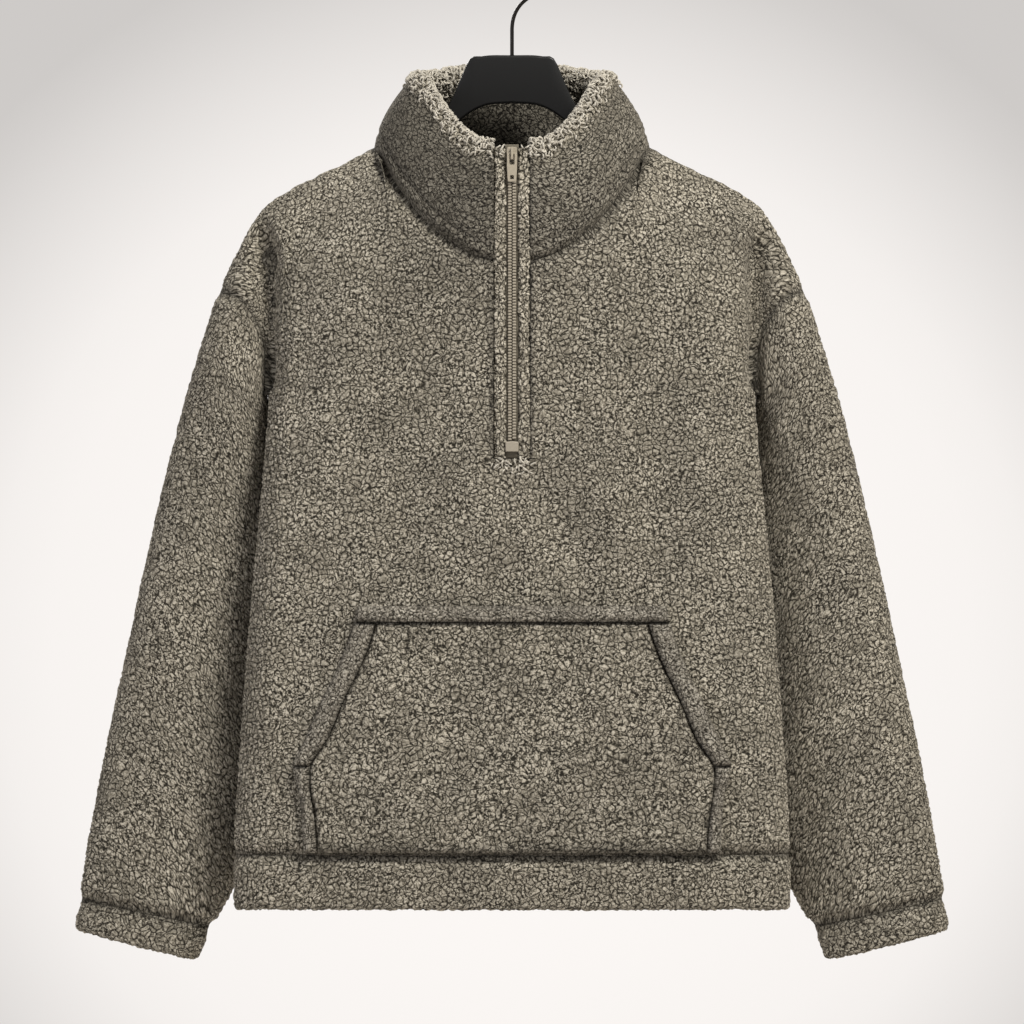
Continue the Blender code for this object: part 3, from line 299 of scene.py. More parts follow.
def skin_y(x, h, side):
    """Where the front or back skin lies."""
    depth = cloth_depth(x, h, side)
    return seam_y(x, h) + (-depth if side == "front" else depth)


print("belly stands out", round(float(cloth_depth(0.0, 0.25, "front")) * 1000), "mm")

# %% [markdown]
# ## Front and back panels as nets
# A panel is cut between four edges: the hem seam, the side seam with the armhole above it, the
# shoulder with the neckline, and the middle. A net of small cells fills half of it between
# those edges, and the other half is its mirror image. Every 2 to 3 mm there is a point, which
# is fine enough for the fleece's larger curls to be real bumps.

# %% Nets for the panels
SIDE_ROWS, ARMHOLE_ROWS = 168, 72
SLOT_COLUMNS, HALF_COLUMNS = 8, 144
SLOT_ROW, SLOT_SHIFT_ROWS, SLOT_SHIFT_COLUMNS = 144, 24, 60
NECK_COLUMN = SLOT_COLUMNS + HALF_COLUMNS // 2
NECK_EVEN_ROWS, NECK_EVEN_COLUMNS = 16, 40
ARMPIT_SHARE = 0.79
PULL_POWER = 3


def neckline(angle, side):
    """Neck seam seen from the front: angle 0 is at the centre, a quarter turn at the shoulder."""
    low = FRONT_NECK_HEIGHT if side == "front" else BACK_NECK_HEIGHT
    dip = (NECK_HEIGHT - low) * np.clip(np.cos(angle), 0, 1) ** NECK_POWER
    return NECK_HALF_WIDTH * np.sin(angle), NECK_HEIGHT - dip


def neck_angles(fraction, side):
    """Angles along the neckline, from the zip's slot to the shoulder, evenly spaced by length."""
    angles = np.linspace(math.asin(ZIP_SLOT_HALF / NECK_HALF_WIDTH), math.pi / 2, 400)
    x, h = neckline(angles, side)
    length = np.concatenate([[0], np.cumsum(np.hypot(np.diff(x), np.diff(h)))])
    return np.interp(fraction, length / length[-1], angles)


def armhole(turn):
    """Armhole seam seen from the front: turn 0 is under the arm, 1 at the shoulder tip."""
    angle = (1 - turn) * math.pi
    under = OutlinePoint(float(table_at(BODY, "half_width", ARMPIT_HEIGHT)), ARMPIT_HEIGHT)
    through = []
    for a, b, c in zip(OUTLINE[TIP_POINT], ARMHOLE_MIDDLE, under):
        wave = ((a + c) / 2 - b) / 2 * np.cos(2 * angle)
        through.append(((a + c) / 2 + b) / 2 + (a - c) / 2 * np.cos(angle) + wave)
    return through


def panel_net(side):
    """Half a panel seen from the front, as x and height, [row, column], from hem to shoulder."""
    slot = ZIP_SLOT_HALF / float(table_at(BODY, "half_width", HEM_BAND_HEIGHT))
    spread = np.sin(np.linspace(0, math.pi / 2, HALF_COLUMNS + 1))
    in_slot = np.linspace(0, slot, SLOT_COLUMNS + 1)[:-1]
    across = np.concatenate([in_slot, slot + (1 - slot) * spread])
    lower = np.linspace(0, ARMPIT_SHARE, SIDE_ROWS + 1)
    rest = np.sin(np.linspace(0, 1, ARMHOLE_ROWS + 1) * math.pi / 2)
    up = np.concatenate([lower[:-1], ARMPIT_SHARE + (1 - ARMPIT_SHARE) * rest])
    hem_x = across * float(table_at(BODY, "half_width", HEM_BAND_HEIGHT))
    hem_h = np.full(len(across), HEM_BAND_HEIGHT)
    in_neck = (across - across[SLOT_COLUMNS]) / (across[NECK_COLUMN] - across[SLOT_COLUMNS])
    angle = neck_angles(np.clip(in_neck, 0, 1), side)
    angle[:SLOT_COLUMNS] = np.linspace(0, angle[SLOT_COLUMNS], SLOT_COLUMNS + 1)[:-1]
    neck_x, neck_h = neckline(angle, side)
    past = np.clip((across - across[NECK_COLUMN]) / (1 - across[NECK_COLUMN]), 0, 1)
    over_x, over_h = along_outline(NECK_POINT + past * (TIP_POINT - NECK_POINT))
    shoulder = np.arange(len(across)) > NECK_COLUMN
    top_x = np.where(shoulder, over_x, neck_x)
    top_h = np.where(shoulder, over_h, neck_h)
    seam = np.linspace(HEM_BAND_HEIGHT, ARMPIT_HEIGHT, SIDE_ROWS + 1)
    hole_x, hole_h = armhole(np.linspace(0, 1, ARMHOLE_ROWS + 1))
    side_x = np.concatenate([table_at(BODY, "half_width", seam)[:-1], hole_x])
    side_h = np.concatenate([seam[:-1], hole_h])
    middle_h = HEM_BAND_HEIGHT + up * (top_h[0] - HEM_BAND_HEIGHT)
    a, b = across[None, :], up[:, None]

    def blend(bottom, top, left, right):
        ruled = (1 - b) * bottom + b * top
        left_pull = left[:, None] - ruled[:, :1]
        right_pull = right[:, None] - ruled[:, -1:]
        return ruled + (1 - a) ** PULL_POWER * left_pull + a**PULL_POWER * right_pull

    x = blend(hem_x, top_x, np.zeros(len(up)), side_x)
    h = blend(hem_h, top_h, middle_h, side_h)
    from_corner = np.abs(np.arange(len(across)) - NECK_COLUMN) / NECK_EVEN_COLUMNS
    even = np.linspace(0, 1, NECK_EVEN_ROWS + 1)[:, None]
    for grid in (x, h):
        last = grid[-NECK_EVEN_ROWS - 1 :]
        last += (last[0] + (last[-1] - last[0]) * even - last) * smoothstep(1.2 - from_corner)
    x[:, : SLOT_COLUMNS + 1] = np.linspace(0, ZIP_SLOT_HALF, SLOT_COLUMNS + 1)
    if side == "front":
        rows = smoothstep(1 - np.abs(np.arange(len(up)) - SLOT_ROW) / SLOT_SHIFT_ROWS)
        columns = smoothstep(1 - (np.arange(len(across)) - SLOT_COLUMNS) / SLOT_SHIFT_COLUMNS)
        h += (ZIP_BOTTOM_HEIGHT - h[SLOT_ROW, 0]) * rows[:, None] * columns
        h[SLOT_ROW, : SLOT_COLUMNS + 1] = ZIP_BOTTOM_HEIGHT
    return x, h


def mirrored(skin):
    """The same skin on the other side, with its columns turned round to keep it outside out."""
    return skin[:, ::-1] * np.array([-1, 1, 1])


def panel_skin(side):
    """A whole panel's skin, its columns running so that it faces outwards."""
    x, h = panel_net(side)
    y = skin_y(x, h, side)
    y[-1, NECK_COLUMN:] = seam_y(x[-1, NECK_COLUMN:], h[-1, NECK_COLUMN:])
    y[: SIDE_ROWS + 1, -1] = seam_y(x[: SIDE_ROWS + 1, -1], h[: SIDE_ROWS + 1, -1])
    right = np.stack([x, y, h], axis=2)
    left = mirrored(right)
    left[:-1, 1:, 1] = skin_y(left[:-1, 1:, 0], left[:-1, 1:, 2], side)
    whole = np.concatenate([left[:, :-1], right], axis=1)
    return whole if side == "front" else whole[:, ::-1]


front, back = panel_skin("front"), panel_skin("back")
CENTRE = front.shape[1] // 2
print("each panel has", front.shape[0], "x", front.shape[1], "points")

# %% [markdown]
# ## Sleeves, cuffs, hem band and collar
# These are tubes. A sleeve starts at the armhole's own points, so its seam can't open, and then
# follows rings down the arm. The hem band and the cuffs carry on from the edges above them, and
# the collar rises from the neckline to its rolled rim, low in front and high behind.

# %% Skins of the tubes
SLEEVE_HEAD_RINGS, SLEEVE_HEAD_ROWS, SLEEVE_ROWS = 3, 42, 187
CUFF_ROWS, HEM_ROWS, COLLAR_ROWS = 12, 20, 44
ROUNDNESS = 0.85
HEM_NARROWING, HEM_BULGE = 0.95, 1.02
SLEEVE_FOLDS_START, SLEEVE_FOLDS_END = 0.2, 0.1


def ring_at(row):
    """One ring round the right sleeve: outer edge, front, inner edge and back."""
    turn = np.arange(2 * ARMHOLE_ROWS) / (2 * ARMHOLE_ROWS)
    swing = np.cos(2 * math.pi * turn)
    out = (1 + swing) / 2
    side = np.sin(2 * math.pi * turn)
    x = row.inner_x + (row.outer_x - row.inner_x) * out
    h = row.inner_h + (row.outer_h - row.inner_h) * out
    y = row.middle - row.skew * swing - row.depth * np.sign(side) * np.abs(side) ** ROUNDNESS
    return np.stack([x, y, h], axis=1)


def area_vectors(skin, around):
    """Sum, at each point, of the outward area vectors of the cells that meet there."""
    if around:
        skin = np.concatenate([skin, skin[:, :1]], axis=1)
    area = np.cross(skin[1:, 1:] - skin[:-1, :-1], skin[1:, :-1] - skin[:-1, 1:])
    total = np.zeros(skin.shape)
    for rows in (slice(None, -1), slice(1, None)):
        for columns in (slice(None, -1), slice(1, None)):
            total[rows, columns] += area
    if around:
        total[:, 0] += total[:, -1]
        total = total[:, :-1]
    return total


def sleeve_skin():
    """The right sleeve's skin from the armhole to the cuff seam, [row down, column round]."""
    first = np.concatenate([front[SIDE_ROWS:, -1][::-1], back[SIDE_ROWS:, 0][1:-1]])
    rings = np.array([first] + [ring_at(row) for row in SLEEVE])
    head = np.linspace(0, SLEEVE_HEAD_RINGS, SLEEVE_HEAD_ROWS + 1)
    at = np.concatenate([head[:-1], np.linspace(SLEEVE_HEAD_RINGS, len(SLEEVE), SLEEVE_ROWS)])
    index = np.arange(len(rings))
    skin = np.empty((len(at), rings.shape[1], 3))
    for column in range(rings.shape[1]):
        for axis in range(3):
            skin[:, column, axis] = curve_at(index, rings[:, column, axis], at)
    normals = unit(area_vectors(skin, True))
    turn = np.broadcast_to(np.arange(rings.shape[1]) / rings.shape[1], skin.shape[:2])
    down = np.broadcast_to((at / len(SLEEVE))[:, None], skin.shape[:2])
    fade = smoothstep(down / SLEEVE_FOLDS_START) * smoothstep((1 - down) / SLEEVE_FOLDS_END)
    return skin + normals * (folds_at(turn, down, FOLDS["sleeve"]) * fade)[..., None]


def hem_skin():
    """The hem band's skin round the body from its seam down to just above its folded edge."""
    top = np.concatenate([back[0][:-1], front[0][:-1]])[::-1]
    bottom = top * np.array([1, HEM_NARROWING, 0]) + np.array([0, 0, HEM_FOLD_HEIGHT])
    middle = (top + bottom) / 2 * np.array([1, HEM_BULGE, 1])
    t = np.linspace(0, 1, HEM_ROWS + 1)[:, None, None]
    return top * (1 - t) * (1 - 2 * t) + middle * 4 * t * (1 - t) + bottom * t * (2 * t - 1)


def rim_point(angle):
    """The collar's upper fold: angle 0 is at the front and half a turn at the back."""
    x = RIM_HALF_WIDTH * np.sin(angle)
    y = RIM_CENTRE_Y - RIM_HALF_DEPTH * np.cos(angle)
    rise = smoothstep((angle - RIM_RISE_START) / RIM_RISE_TURN)
    behind = smoothstep((angle - math.pi / 2) / (math.pi / 2))
    h = RIM_FRONT_HEIGHT + (RIM_SIDE_HEIGHT - RIM_FRONT_HEIGHT) * rise
    return np.stack([x, y, h + (RIM_BACK_HEIGHT - RIM_SIDE_HEIGHT) * behind], axis=1)


def collar_skin():
    """The collar's skin from the neck seam up, round from one side of the zip to the other."""
    right_front = front[-1, CENTRE + SLOT_COLUMNS : CENTRE + NECK_COLUMN + 1]
    right_back = back[-1, CENTRE - NECK_COLUMN + 1 : CENTRE + 1]
    half = np.concatenate([right_front, right_back])
    count = len(right_front)
    start = math.asin(ZIP_SLOT_HALF / RIM_HALF_WIDTH)
    share = (half[:count, 0] - half[0, 0]) / (half[count - 1, 0] - half[0, 0])
    front_angle = start + (1 - 2 * start / math.pi) * np.arcsin(np.clip(share, 0, 1))
    back_angle = math.pi - np.arcsin(np.clip(half[count:, 0] / NECK_HALF_WIDTH, 0, 1))
    rim = rim_point(np.concatenate([front_angle, back_angle]))
    rim[0, 0] = ZIP_SLOT_HALF
    from_zip = smoothstep(np.arange(len(half)) / count)[:, None]
    bulge = COLLAR_BULGE + COLLAR_PUFF * from_zip
    rows = []
    for up in np.linspace(0, 1, COLLAR_ROWS + 1):
        row = half + (rim - half) * up
        row[:, :2] += unit(row[:, :2] - np.array([0, RIM_CENTRE_Y])) * bulge * 4 * up * (1 - up)
        row[0, 0] = ZIP_SLOT_HALF
        rows.append(row)
    right = np.array(rows)
    return np.concatenate([right, mirrored(right)[:, 1:]], axis=1)


sleeve = sleeve_skin()
cuff = np.linspace(sleeve[-1], ring_at(CUFF_END), CUFF_ROWS + 1)
skins = {
    "front": front,
    "back": back,
    "collar": collar_skin(),
    "hem_band": hem_skin(),
    "sleeve_right": sleeve,
    "sleeve_left": mirrored(sleeve),
    "cuff_right": cuff,
    "cuff_left": mirrored(cuff),
}
TUBES = ("hem_band", "sleeve_right", "sleeve_left", "cuff_right", "cuff_left")
print({name: skin.shape[:2] for name, skin in skins.items()})

# %% [markdown]
# ## Outward directions
# Thickness and pile both go along the cloth's outward direction. Where panels meet, their points
# share one direction, so the seam stays closed. Away from the seams the directions are evened
# out, which keeps the inside of each wall smooth.

# %% Outward directions shared at the seams
SAME_POINT = 2e-5
SOFTEN_TIMES = 40


def shared_directions():
    """Unit outward directions of all skins, the same wherever their points meet."""
    sums, keys = {}, {}
    for name, skin in skins.items():
        keys[name] = [tuple(k) for k in np.round(skin.reshape(-1, 3) / SAME_POINT).astype(int)]
        for key, value in zip(keys[name], area_vectors(skin, name in TUBES).reshape(-1, 3)):
            sums[key] = sums.get(key, 0) + value
    under = skins["front"][SIDE_ROWS, -1]
    for way in (1, -1):
        key = np.round(under * np.array([way, 1, 1]) / SAME_POINT).astype(int)
        sums[tuple(key)] = np.array([0, 0, -1.0])
    neck = skins["front"][-1, CENTRE + NECK_COLUMN]
    for way in (1, -1):
        key = np.round(neck * np.array([way, 1, 1]) / SAME_POINT).astype(int)
        sums[tuple(key)] = np.array([way * 0.5, 0, 1.0])
    return {n: unit(np.array([sums[k] for k in keys[n]]).reshape(skins[n].shape)) for n in skins}


def softened(directions, around):
    """Directions evened out across a skin, with those along its seams kept."""
    directions = directions.copy()
    for _ in range(SOFTEN_TIMES):
        if around:
            side = np.roll(directions, 1, axis=1) + np.roll(directions, -1, axis=1)
            directions[1:-1] += side[1:-1] + directions[:-2] + directions[2:]
        else:
            near = directions[1:-1, :-2] + directions[1:-1, 2:]
            directions[1:-1, 1:-1] += near + directions[:-2, 1:-1] + directions[2:, 1:-1]
        directions = unit(directions)
    return directions


exact = shared_directions()
directions = {name: softened(way, name in TUBES) for name, way in exact.items()}
print("directions for", sum(way.shape[0] * way.shape[1] for way in directions.values()), "points")

# %% [markdown]
# ## Cloth near its seams
# A seam pulls the fleece down into a groove and flattens its pile. The distance from each point
# to the nearest seam drives both: the skin dips a little, and the amount of pile falls, which
# also darkens the colour there as painted shade.

# %% Seam grooves and amount of pile
LINE_STEPS = 4
SEAM_DIP = 0.0048
SEAM_DIP_WIDTH = 0.0052
SEAM_PUFF, SEAM_PUFF_AT, SEAM_PUFF_WIDTH = 0.0011, 0.0110, 0.0060
NECK_CORNER_START, NECK_CORNER_REACH = 0.003, 0.012
SEAM_ROUND = 0.5
# Soft patches of painted shade and light, which also flatten or lift the pile: x, height, reach
# across, reach up, amount. The first two are the painted shadow under the collar.
SHADE_AND_PILE_PATCHES = (
    (-0.055, 0.550, 0.050, 0.055, -0.50),
    (0.055, 0.560, 0.050, 0.040, -0.20),
    (-0.175, 0.400, 0.040, 0.140, 0.18),
    (-0.100, 0.400, 0.025, 0.150, -0.12),
    (0.145, 0.400, 0.035, 0.150, -0.20),
    (0.110, 0.120, 0.040, 0.050, -0.25),
)
# painted shade: the least pile at a seam also darkens its colour, as shade in the groove
SEAM_PILE_AND_SHADE = 0.12
SEAM_PILE_REACH = 0.0060


def distance_to(lines, points):
    """Distance from each point of a grid to the nearest point of some lines."""
    dense = []
    for line in lines:
        at = np.arange(0, len(line) - 1 + 1e-9, 1 / LINE_STEPS)
        index = np.arange(len(line))
        dense.append(np.stack([np.interp(at, index, line[:, axis]) for axis in range(3)], axis=1))
    line_points = np.concatenate(dense)
    tree = KDTree(len(line_points))
    for index, point in enumerate(line_points):
        tree.insert(point, index)
    tree.balance()
    found = [tree.find(point)[2] for point in points.reshape(-1, 3)]
    return np.array(found).reshape(points.shape[:2])


def groove(distance, depth=SEAM_DIP, width=SEAM_DIP_WIDTH):
    """How far a seam draws the skin in, less the cloth that puffs up beside it."""
    puff = SEAM_PUFF * np.exp(-(((distance - SEAM_PUFF_AT) / SEAM_PUFF_WIDTH) ** 2))
    return depth * np.exp(-((distance / width) ** 2)) - puff * depth / SEAM_DIP


def drawn_in(distance, ways):
    """The groove of a seam, shallower where it turns round the side."""
    return groove(distance) * (SEAM_ROUND + (1 - SEAM_ROUND) * np.abs(ways[..., 1]))


def pile_and_painted_shade_at(x, h):
    """How much pile stands up at a place on the body, more or less of it in soft patches that
    paint shade and light on the colour.
    """
    amount = np.ones(np.broadcast(x, h).shape)
    for at_x, at_h, reach_x, reach_h, more in SHADE_AND_PILE_PATCHES:
        amount += more * np.exp(-(((x - at_x) / reach_x) ** 2) - ((h - at_h) / reach_h) ** 2)
    return amount


def pile_and_shade_near(distance):
    """How much pile stands up at a distance from a seam that flattens it, which also darkens the
    colour there as painted shade.
    """
    return SEAM_PILE_AND_SHADE + (1 - SEAM_PILE_AND_SHADE) * smoothstep(distance / SEAM_PILE_REACH)


def away_from_neck_corner(points):
    """0 where collar, front and back meet on the shoulder, 1 a little way off."""
    corner = front[-1, CENTRE + NECK_COLUMN]
    gap = np.hypot(np.abs(points[..., 0]) - corner[0], points[..., 2] - corner[2])
    return smoothstep((gap - NECK_CORNER_START) / NECK_CORNER_REACH)


armhole_line = skins["sleeve_right"][0]
seam_lines = {
    "hem": [skins["hem_band"][0]],
    "neck": [skins["collar"][0]],
    "armholes": [armhole_line, skins["sleeve_left"][0]],
    "shoulders": [front[-1, CENTRE + NECK_COLUMN :], front[-1, : CENTRE - NECK_COLUMN + 1]],
    "sides": [front[: SIDE_ROWS + 1, -1], front[: SIDE_ROWS + 1, 0]],
    "zip": [front[SLOT_ROW:, CENTRE + way * SLOT_COLUMNS] for way in (-1, 1)]
    + [front[SLOT_ROW, CENTRE - SLOT_COLUMNS : CENTRE + SLOT_COLUMNS + 1]],
    "collar ends": [skins["collar"][:, 0], skins["collar"][:, -1]],
    "cuffs": [skins["cuff_right"][0], skins["cuff_left"][0]],
}
print("seam lines:", ", ".join(seam_lines))

# %% [markdown]
# ## Measuring along the cloth
# The curls of the pile lie in the cloth, so their pattern has to follow it and not the space
# around it. Each point gets two lengths, as a tape laid on the cloth would measure them: how far
# it is across from the middle line, and how far up or down from the first row. A third number
# sets the pieces apart, so no two have the same curls.

# %% Places measured along the cloth
PIECE_OFFSET = 7.31


def flat_places(across, along, piece):
    """Two lengths at each point with the number that sets the piece apart."""
    return np.stack([across, along, np.full(across.shape, piece * PIECE_OFFSET)], axis=2)


def places_on(skin, around=False, piece=0, flat=False):
    """Lengths across and along a net, in metres, with a third number for the piece."""
    level, upright = ((1, 1, 0), (0, 1, 1)) if flat else ((1, 1, 1), (1, 1, 1))
    steps = np.linalg.norm((np.roll(skin, -1, axis=1) - skin) * level, axis=2)
    columns = skin.shape[1]
    middle = 0 if around else columns // 2
    across = np.zeros(skin.shape[:2])
    after = columns // 2 if around else columns - 1 - middle
    outwards = steps[:, middle : middle + after]
    across[:, middle + 1 : middle + after + 1] = np.cumsum(outwards, axis=1)
    if around:
        across[:, after + 1 :] = -np.cumsum(steps[:, after + 1 :][:, ::-1], axis=1)[:, ::-1]
    else:
        across[:, :middle] = -np.cumsum(steps[:, :middle][:, ::-1], axis=1)[:, ::-1]
    along = np.zeros(skin.shape[:2])
    along[1:] = np.cumsum(np.linalg.norm(np.diff(skin, axis=0) * upright, axis=2), axis=0)
    return flat_places(across, along, piece)


print("the front is", round(float(places_on(front)[-1, CENTRE, 1]), 3), "m long at its middle")

# %% [markdown]
# ## A closed wall of cloth
# Only the outside of a panel needs a fine net. Its inside is made from every few points of the
# same net, moved in by the cloth's thickness, and the rims of the two nets are stitched
# together, which closes the wall at little cost. A band that is folded double needs no inside:
# its net goes down the outer face, round the fold and up the inner face.

# %% Meshes from nets
COARSE_ROWS, COARSE_COLUMNS = 12, 8


def lowered(points):
    """Points whose heights are above the hem, as places in the frame."""
    return np.asarray(points).reshape(-1, 3) - np.array([0, 0, ORIGIN_HEIGHT])


def in_scene(name, data):
    """A new object with its data, linked to the scene."""
    made = bpy.data.objects.new(name, data)
    bpy.context.scene.collection.objects.link(made)
    return made


def mesh_object(name, points, faces, pile=None, place=None):
    """A mesh object from arrays, with the amount of pile and the places on its points."""
    mesh = bpy.data.meshes.new(name)
    mesh.from_pydata(np.asarray(points).tolist(), [], faces)
    mesh.shade_smooth()
    if pile is not None:
        layer = mesh.attributes.new("pile", "FLOAT", "POINT")
        layer.data.foreach_set("value", np.asarray(pile, np.float32).reshape(-1))
    if place is not None:
        layer = mesh.attributes.new("place", "FLOAT_VECTOR", "POINT")
        layer.data.foreach_set("vector", np.asarray(place, np.float32).reshape(-1))
    return in_scene(name, mesh)


def net_faces(rows, columns, start=0, around=False, cut=None):
    """Faces of a net, its first point numbered start."""
    faces = []
    for row in range(rows - 1):
        for column in range(columns if around else columns - 1):
            if cut and cut(row, column):
                continue
            after = (column + 1) % columns
            low, high = start + row * columns, start + (row + 1) * columns
            faces.append((low + column, low + after, high + after, high + column))
    return faces


def tube_faces(rows, columns):
    """Faces of a tube and of the flat caps at both its ends."""
    caps = [tuple(range(columns))[::-1], tuple((rows - 1) * columns + i for i in range(columns))]
    return net_faces(rows, columns, around=True) + caps


def turned_outwards(mesh):
    """A closed mesh with all its faces turned outwards."""
    shape = bmesh.new()
    shape.from_mesh(mesh)
    bmesh.ops.recalc_face_normals(shape, faces=shape.faces)
    shape.to_mesh(mesh)
    shape.free()
    return mesh


def border(faces):
    """The rim of a net as loops of point numbers, in the direction that its faces run."""
    edges = {(f[i], f[(i + 1) % 4]) for f in faces for i in range(4)}
    after = {a: b for a, b in edges if (b, a) not in edges}
    loops = []
    while after:
        loop = [min(after)]
        while loop[-1] in after:
            loop.append(after.pop(loop[-1]))
        loops.append(loop[:-1])
    return loops


def wall(outer, inner, pile, place, around=False, cut=None):
    """Points, faces, pile and places of a fine outer net stitched to its coarse inside."""
    rows, columns = outer.shape[:2]
    kept_rows = np.arange(0, rows, COARSE_ROWS)
    kept_columns = np.arange(0, columns, COARSE_COLUMNS)
    coarse = inner[np.ix_(kept_rows, kept_columns)]
    count = rows * columns

    def coarse_cut(row, column):
        return cut(row * COARSE_ROWS, column * COARSE_COLUMNS)

    outside = net_faces(rows, columns, around=around, cut=cut)
    size = (len(kept_rows), len(kept_columns))
    inside = net_faces(*size, around=around, cut=coarse_cut if cut else None)
    number = {
        r * columns + c: i * size[1] + j
        for i, r in enumerate(kept_rows)
        for j, c in enumerate(kept_columns)
    }
    stitches = []
    for loop in border(outside):
        marks = [i for i, point in enumerate(loop) if point in number]
        loop = loop[marks[0] :] + loop[: marks[0]]
        held = number[loop[0]] + count
        for a, b in zip(loop, loop[1:] + loop[:1]):
            stitches.append((b, a, held))
            if b in number:
                following = number[b] + count
                stitches.append((b, held, following))
                held = following
    flipped = [tuple(v + count for v in reversed(f)) for f in inside]
    points = np.concatenate([outer.reshape(-1, 3), coarse.reshape(-1, 3)])
    amount = np.concatenate([pile.reshape(-1), np.zeros(coarse.shape[0] * coarse.shape[1])])
    coarse_place = place[np.ix_(kept_rows, kept_columns)]
    places = np.concatenate([place.reshape(-1, 3), coarse_place.reshape(-1, 3)])
    return points, outside + stitches + flipped, amount, places


FOLD_STEPS = 8


def turned(outer, ways, thickness):
    """One net down the outer face, round a fold and back up the inner face."""
    inner = outer - ways * thickness
    middle = (outer[-1] + inner[-1]) / 2
    half = (outer[-1] - inner[-1]) / 2
    way = unit(outer[-1] + inner[-1] - outer[-2] - inner[-2])
    way *= np.linalg.norm(half, axis=1, keepdims=True)
    turns = np.linspace(0, math.pi, FOLD_STEPS + 1)[1:-1]
    arc = [middle + half * math.cos(t) + way * math.sin(t) for t in turns]
    return np.concatenate([outer, np.array(arc), inner[::-1]])


def turned_faces(rows, columns, around):
    """Faces of a turned net, closed along its seam and, where it has ends, at both ends."""
    faces = net_faces(rows, columns, around=around)
    last = (rows - 1) * columns
    for column in range(columns if around else columns - 1):
        after = (column + 1) % columns
        faces.append((last + column, last + after, after, column))
    if not around:
        for row in range((rows - 1) // 2):
            near, far = row * columns, (rows - 1 - row) * columns
            rim = [near, near + columns, far - columns, far]
            if far - columns <= near + columns:
                del rim[2]
            faces.append(tuple(rim))
            faces.append(tuple(point + columns - 1 for point in rim[::-1]))
    return faces


print("inside nets use 1 row in", COARSE_ROWS, "and 1 column in", COARSE_COLUMNS)

# %% [markdown]
# ## Building node trees
# Blender's materials and Geometry Nodes are both node trees. One helper adds a node, sets its
# options and either types a value into each named input or links another node's output to it.
# The short functions below it stand for the kinds of node that come up again and again. Colours
# are given as the hex values that a paint program shows; Blender works with linear light, so
# one function converts them.

# %% Helpers for nodes and colours
def fill_inputs(tree, node, inputs):
    """Give each named input of a node a value, or a link from a socket."""
    for key, value in inputs.items():
        if isinstance(value, bpy.types.NodeSocket):
            tree.links.new(value, node.inputs[key])
        else:
            node.inputs[key].default_value = value


def add_node(tree, kind, inputs=None, **settings):
    """A new node with its settings; each input gets a value, or a link from a socket."""
    node = tree.nodes.new(kind)
    for key, value in settings.items():
        setattr(node, key, value)
    fill_inputs(tree, node, inputs or {})
    return node


def maths(tree, operation, *values):
    """The result of arithmetic on two or three numbers."""
    inputs = dict(enumerate(values))
    return add_node(tree, "ShaderNodeMath", inputs, operation=operation).outputs[0]


def vector_maths(tree, operation, first, second):
    """A node that does arithmetic on two vectors."""
    return add_node(tree, "ShaderNodeVectorMath", {0: first, 1: second}, operation=operation)


def scaled(tree, vector, factor):
    """A vector or a colour times a number."""
    inputs = {0: vector, "Scale": factor}
    return add_node(tree, "ShaderNodeVectorMath", inputs, operation="SCALE").outputs[0]


def map_range(tree, value, low, high, to_low, to_high, **settings):
    """A value carried over from one range to another."""
    inputs = {"Value": value, "From Min": low, "From Max": high}
    inputs.update({"To Min": to_low, "To Max": to_high})
    return add_node(tree, "ShaderNodeMapRange", inputs, **settings).outputs[0]


def noise(tree, place, scale, detail, **more):
    """Soft noise between 0 and 1, read at a place."""
    inputs = {"Vector": place, "Scale": scale, "Detail": detail, **more}
    return add_node(tree, "ShaderNodeTexNoise", inputs).outputs["Fac"]


def bump(tree, height, distance, **more):
    """The shading direction over small bumps of a height."""
    inputs = {"Height": height, "Distance": distance, **more}
    return add_node(tree, "ShaderNodeBump", inputs).outputs[0]


def colour_ramp(tree, value, *stops):
    """The colour at a value, between stops that are a position and a hex colour each."""
    ramp = add_node(tree, "ShaderNodeValToRGB", {"Fac": value})
    elements = ramp.color_ramp.elements
    for position, _ in stops[1:-1]:
        elements.new(position)
    for element, (position, colour) in zip(elements, stops):
        element.position = position
        element.color = linear(colour)
    return ramp.outputs[0]


def object_place(tree):
    """The place on the object, in metres."""
    return add_node(tree, "ShaderNodeTexCoord").outputs["Object"]


def attribute(tree, name, output):
    """An attribute of the mesh, read in a material."""
    return add_node(tree, "ShaderNodeAttribute", attribute_name=name).outputs[output]


def new_material(name):
    """A material with its node tree and its shader."""
    material = bpy.data.materials.new(name)
    material.use_nodes = True
    return material, material.node_tree, material.node_tree.nodes["Principled BSDF"]


def linear(colour):
    """A hex sRGB colour as linear red, green, blue and alpha."""
    parts = [int(colour[i : i + 2], 16) / 255 for i in (1, 3, 5)]
    return (*[p / 12.92 if p <= 0.04045 else ((p + 0.055) / 1.055) ** 2.4 for p in parts], 1.0)


print("mid grey #808080 is", round(linear("#808080")[0], 3), "in linear light")

# %% [markdown]
# ## The curls of sherpa fleece
# Sherpa is a knitted backing whose polyester pile is tumbled until it curls into small nubs,
# each about 5 mm across, with dark gaps between them. A Voronoi texture divides space into such
# cells, and noise bends them into worms. The same recipe is used twice, once in Geometry Nodes
# to raise real bumps and once in the material to paint and shade each nub, so the recipe is one
# function that works in either kind of tree.

# %% One recipe for the nubs, in metres
NUB_SIZE = 0.0050
WANDER_SIZE = 0.0110
WANDER = 0.0062


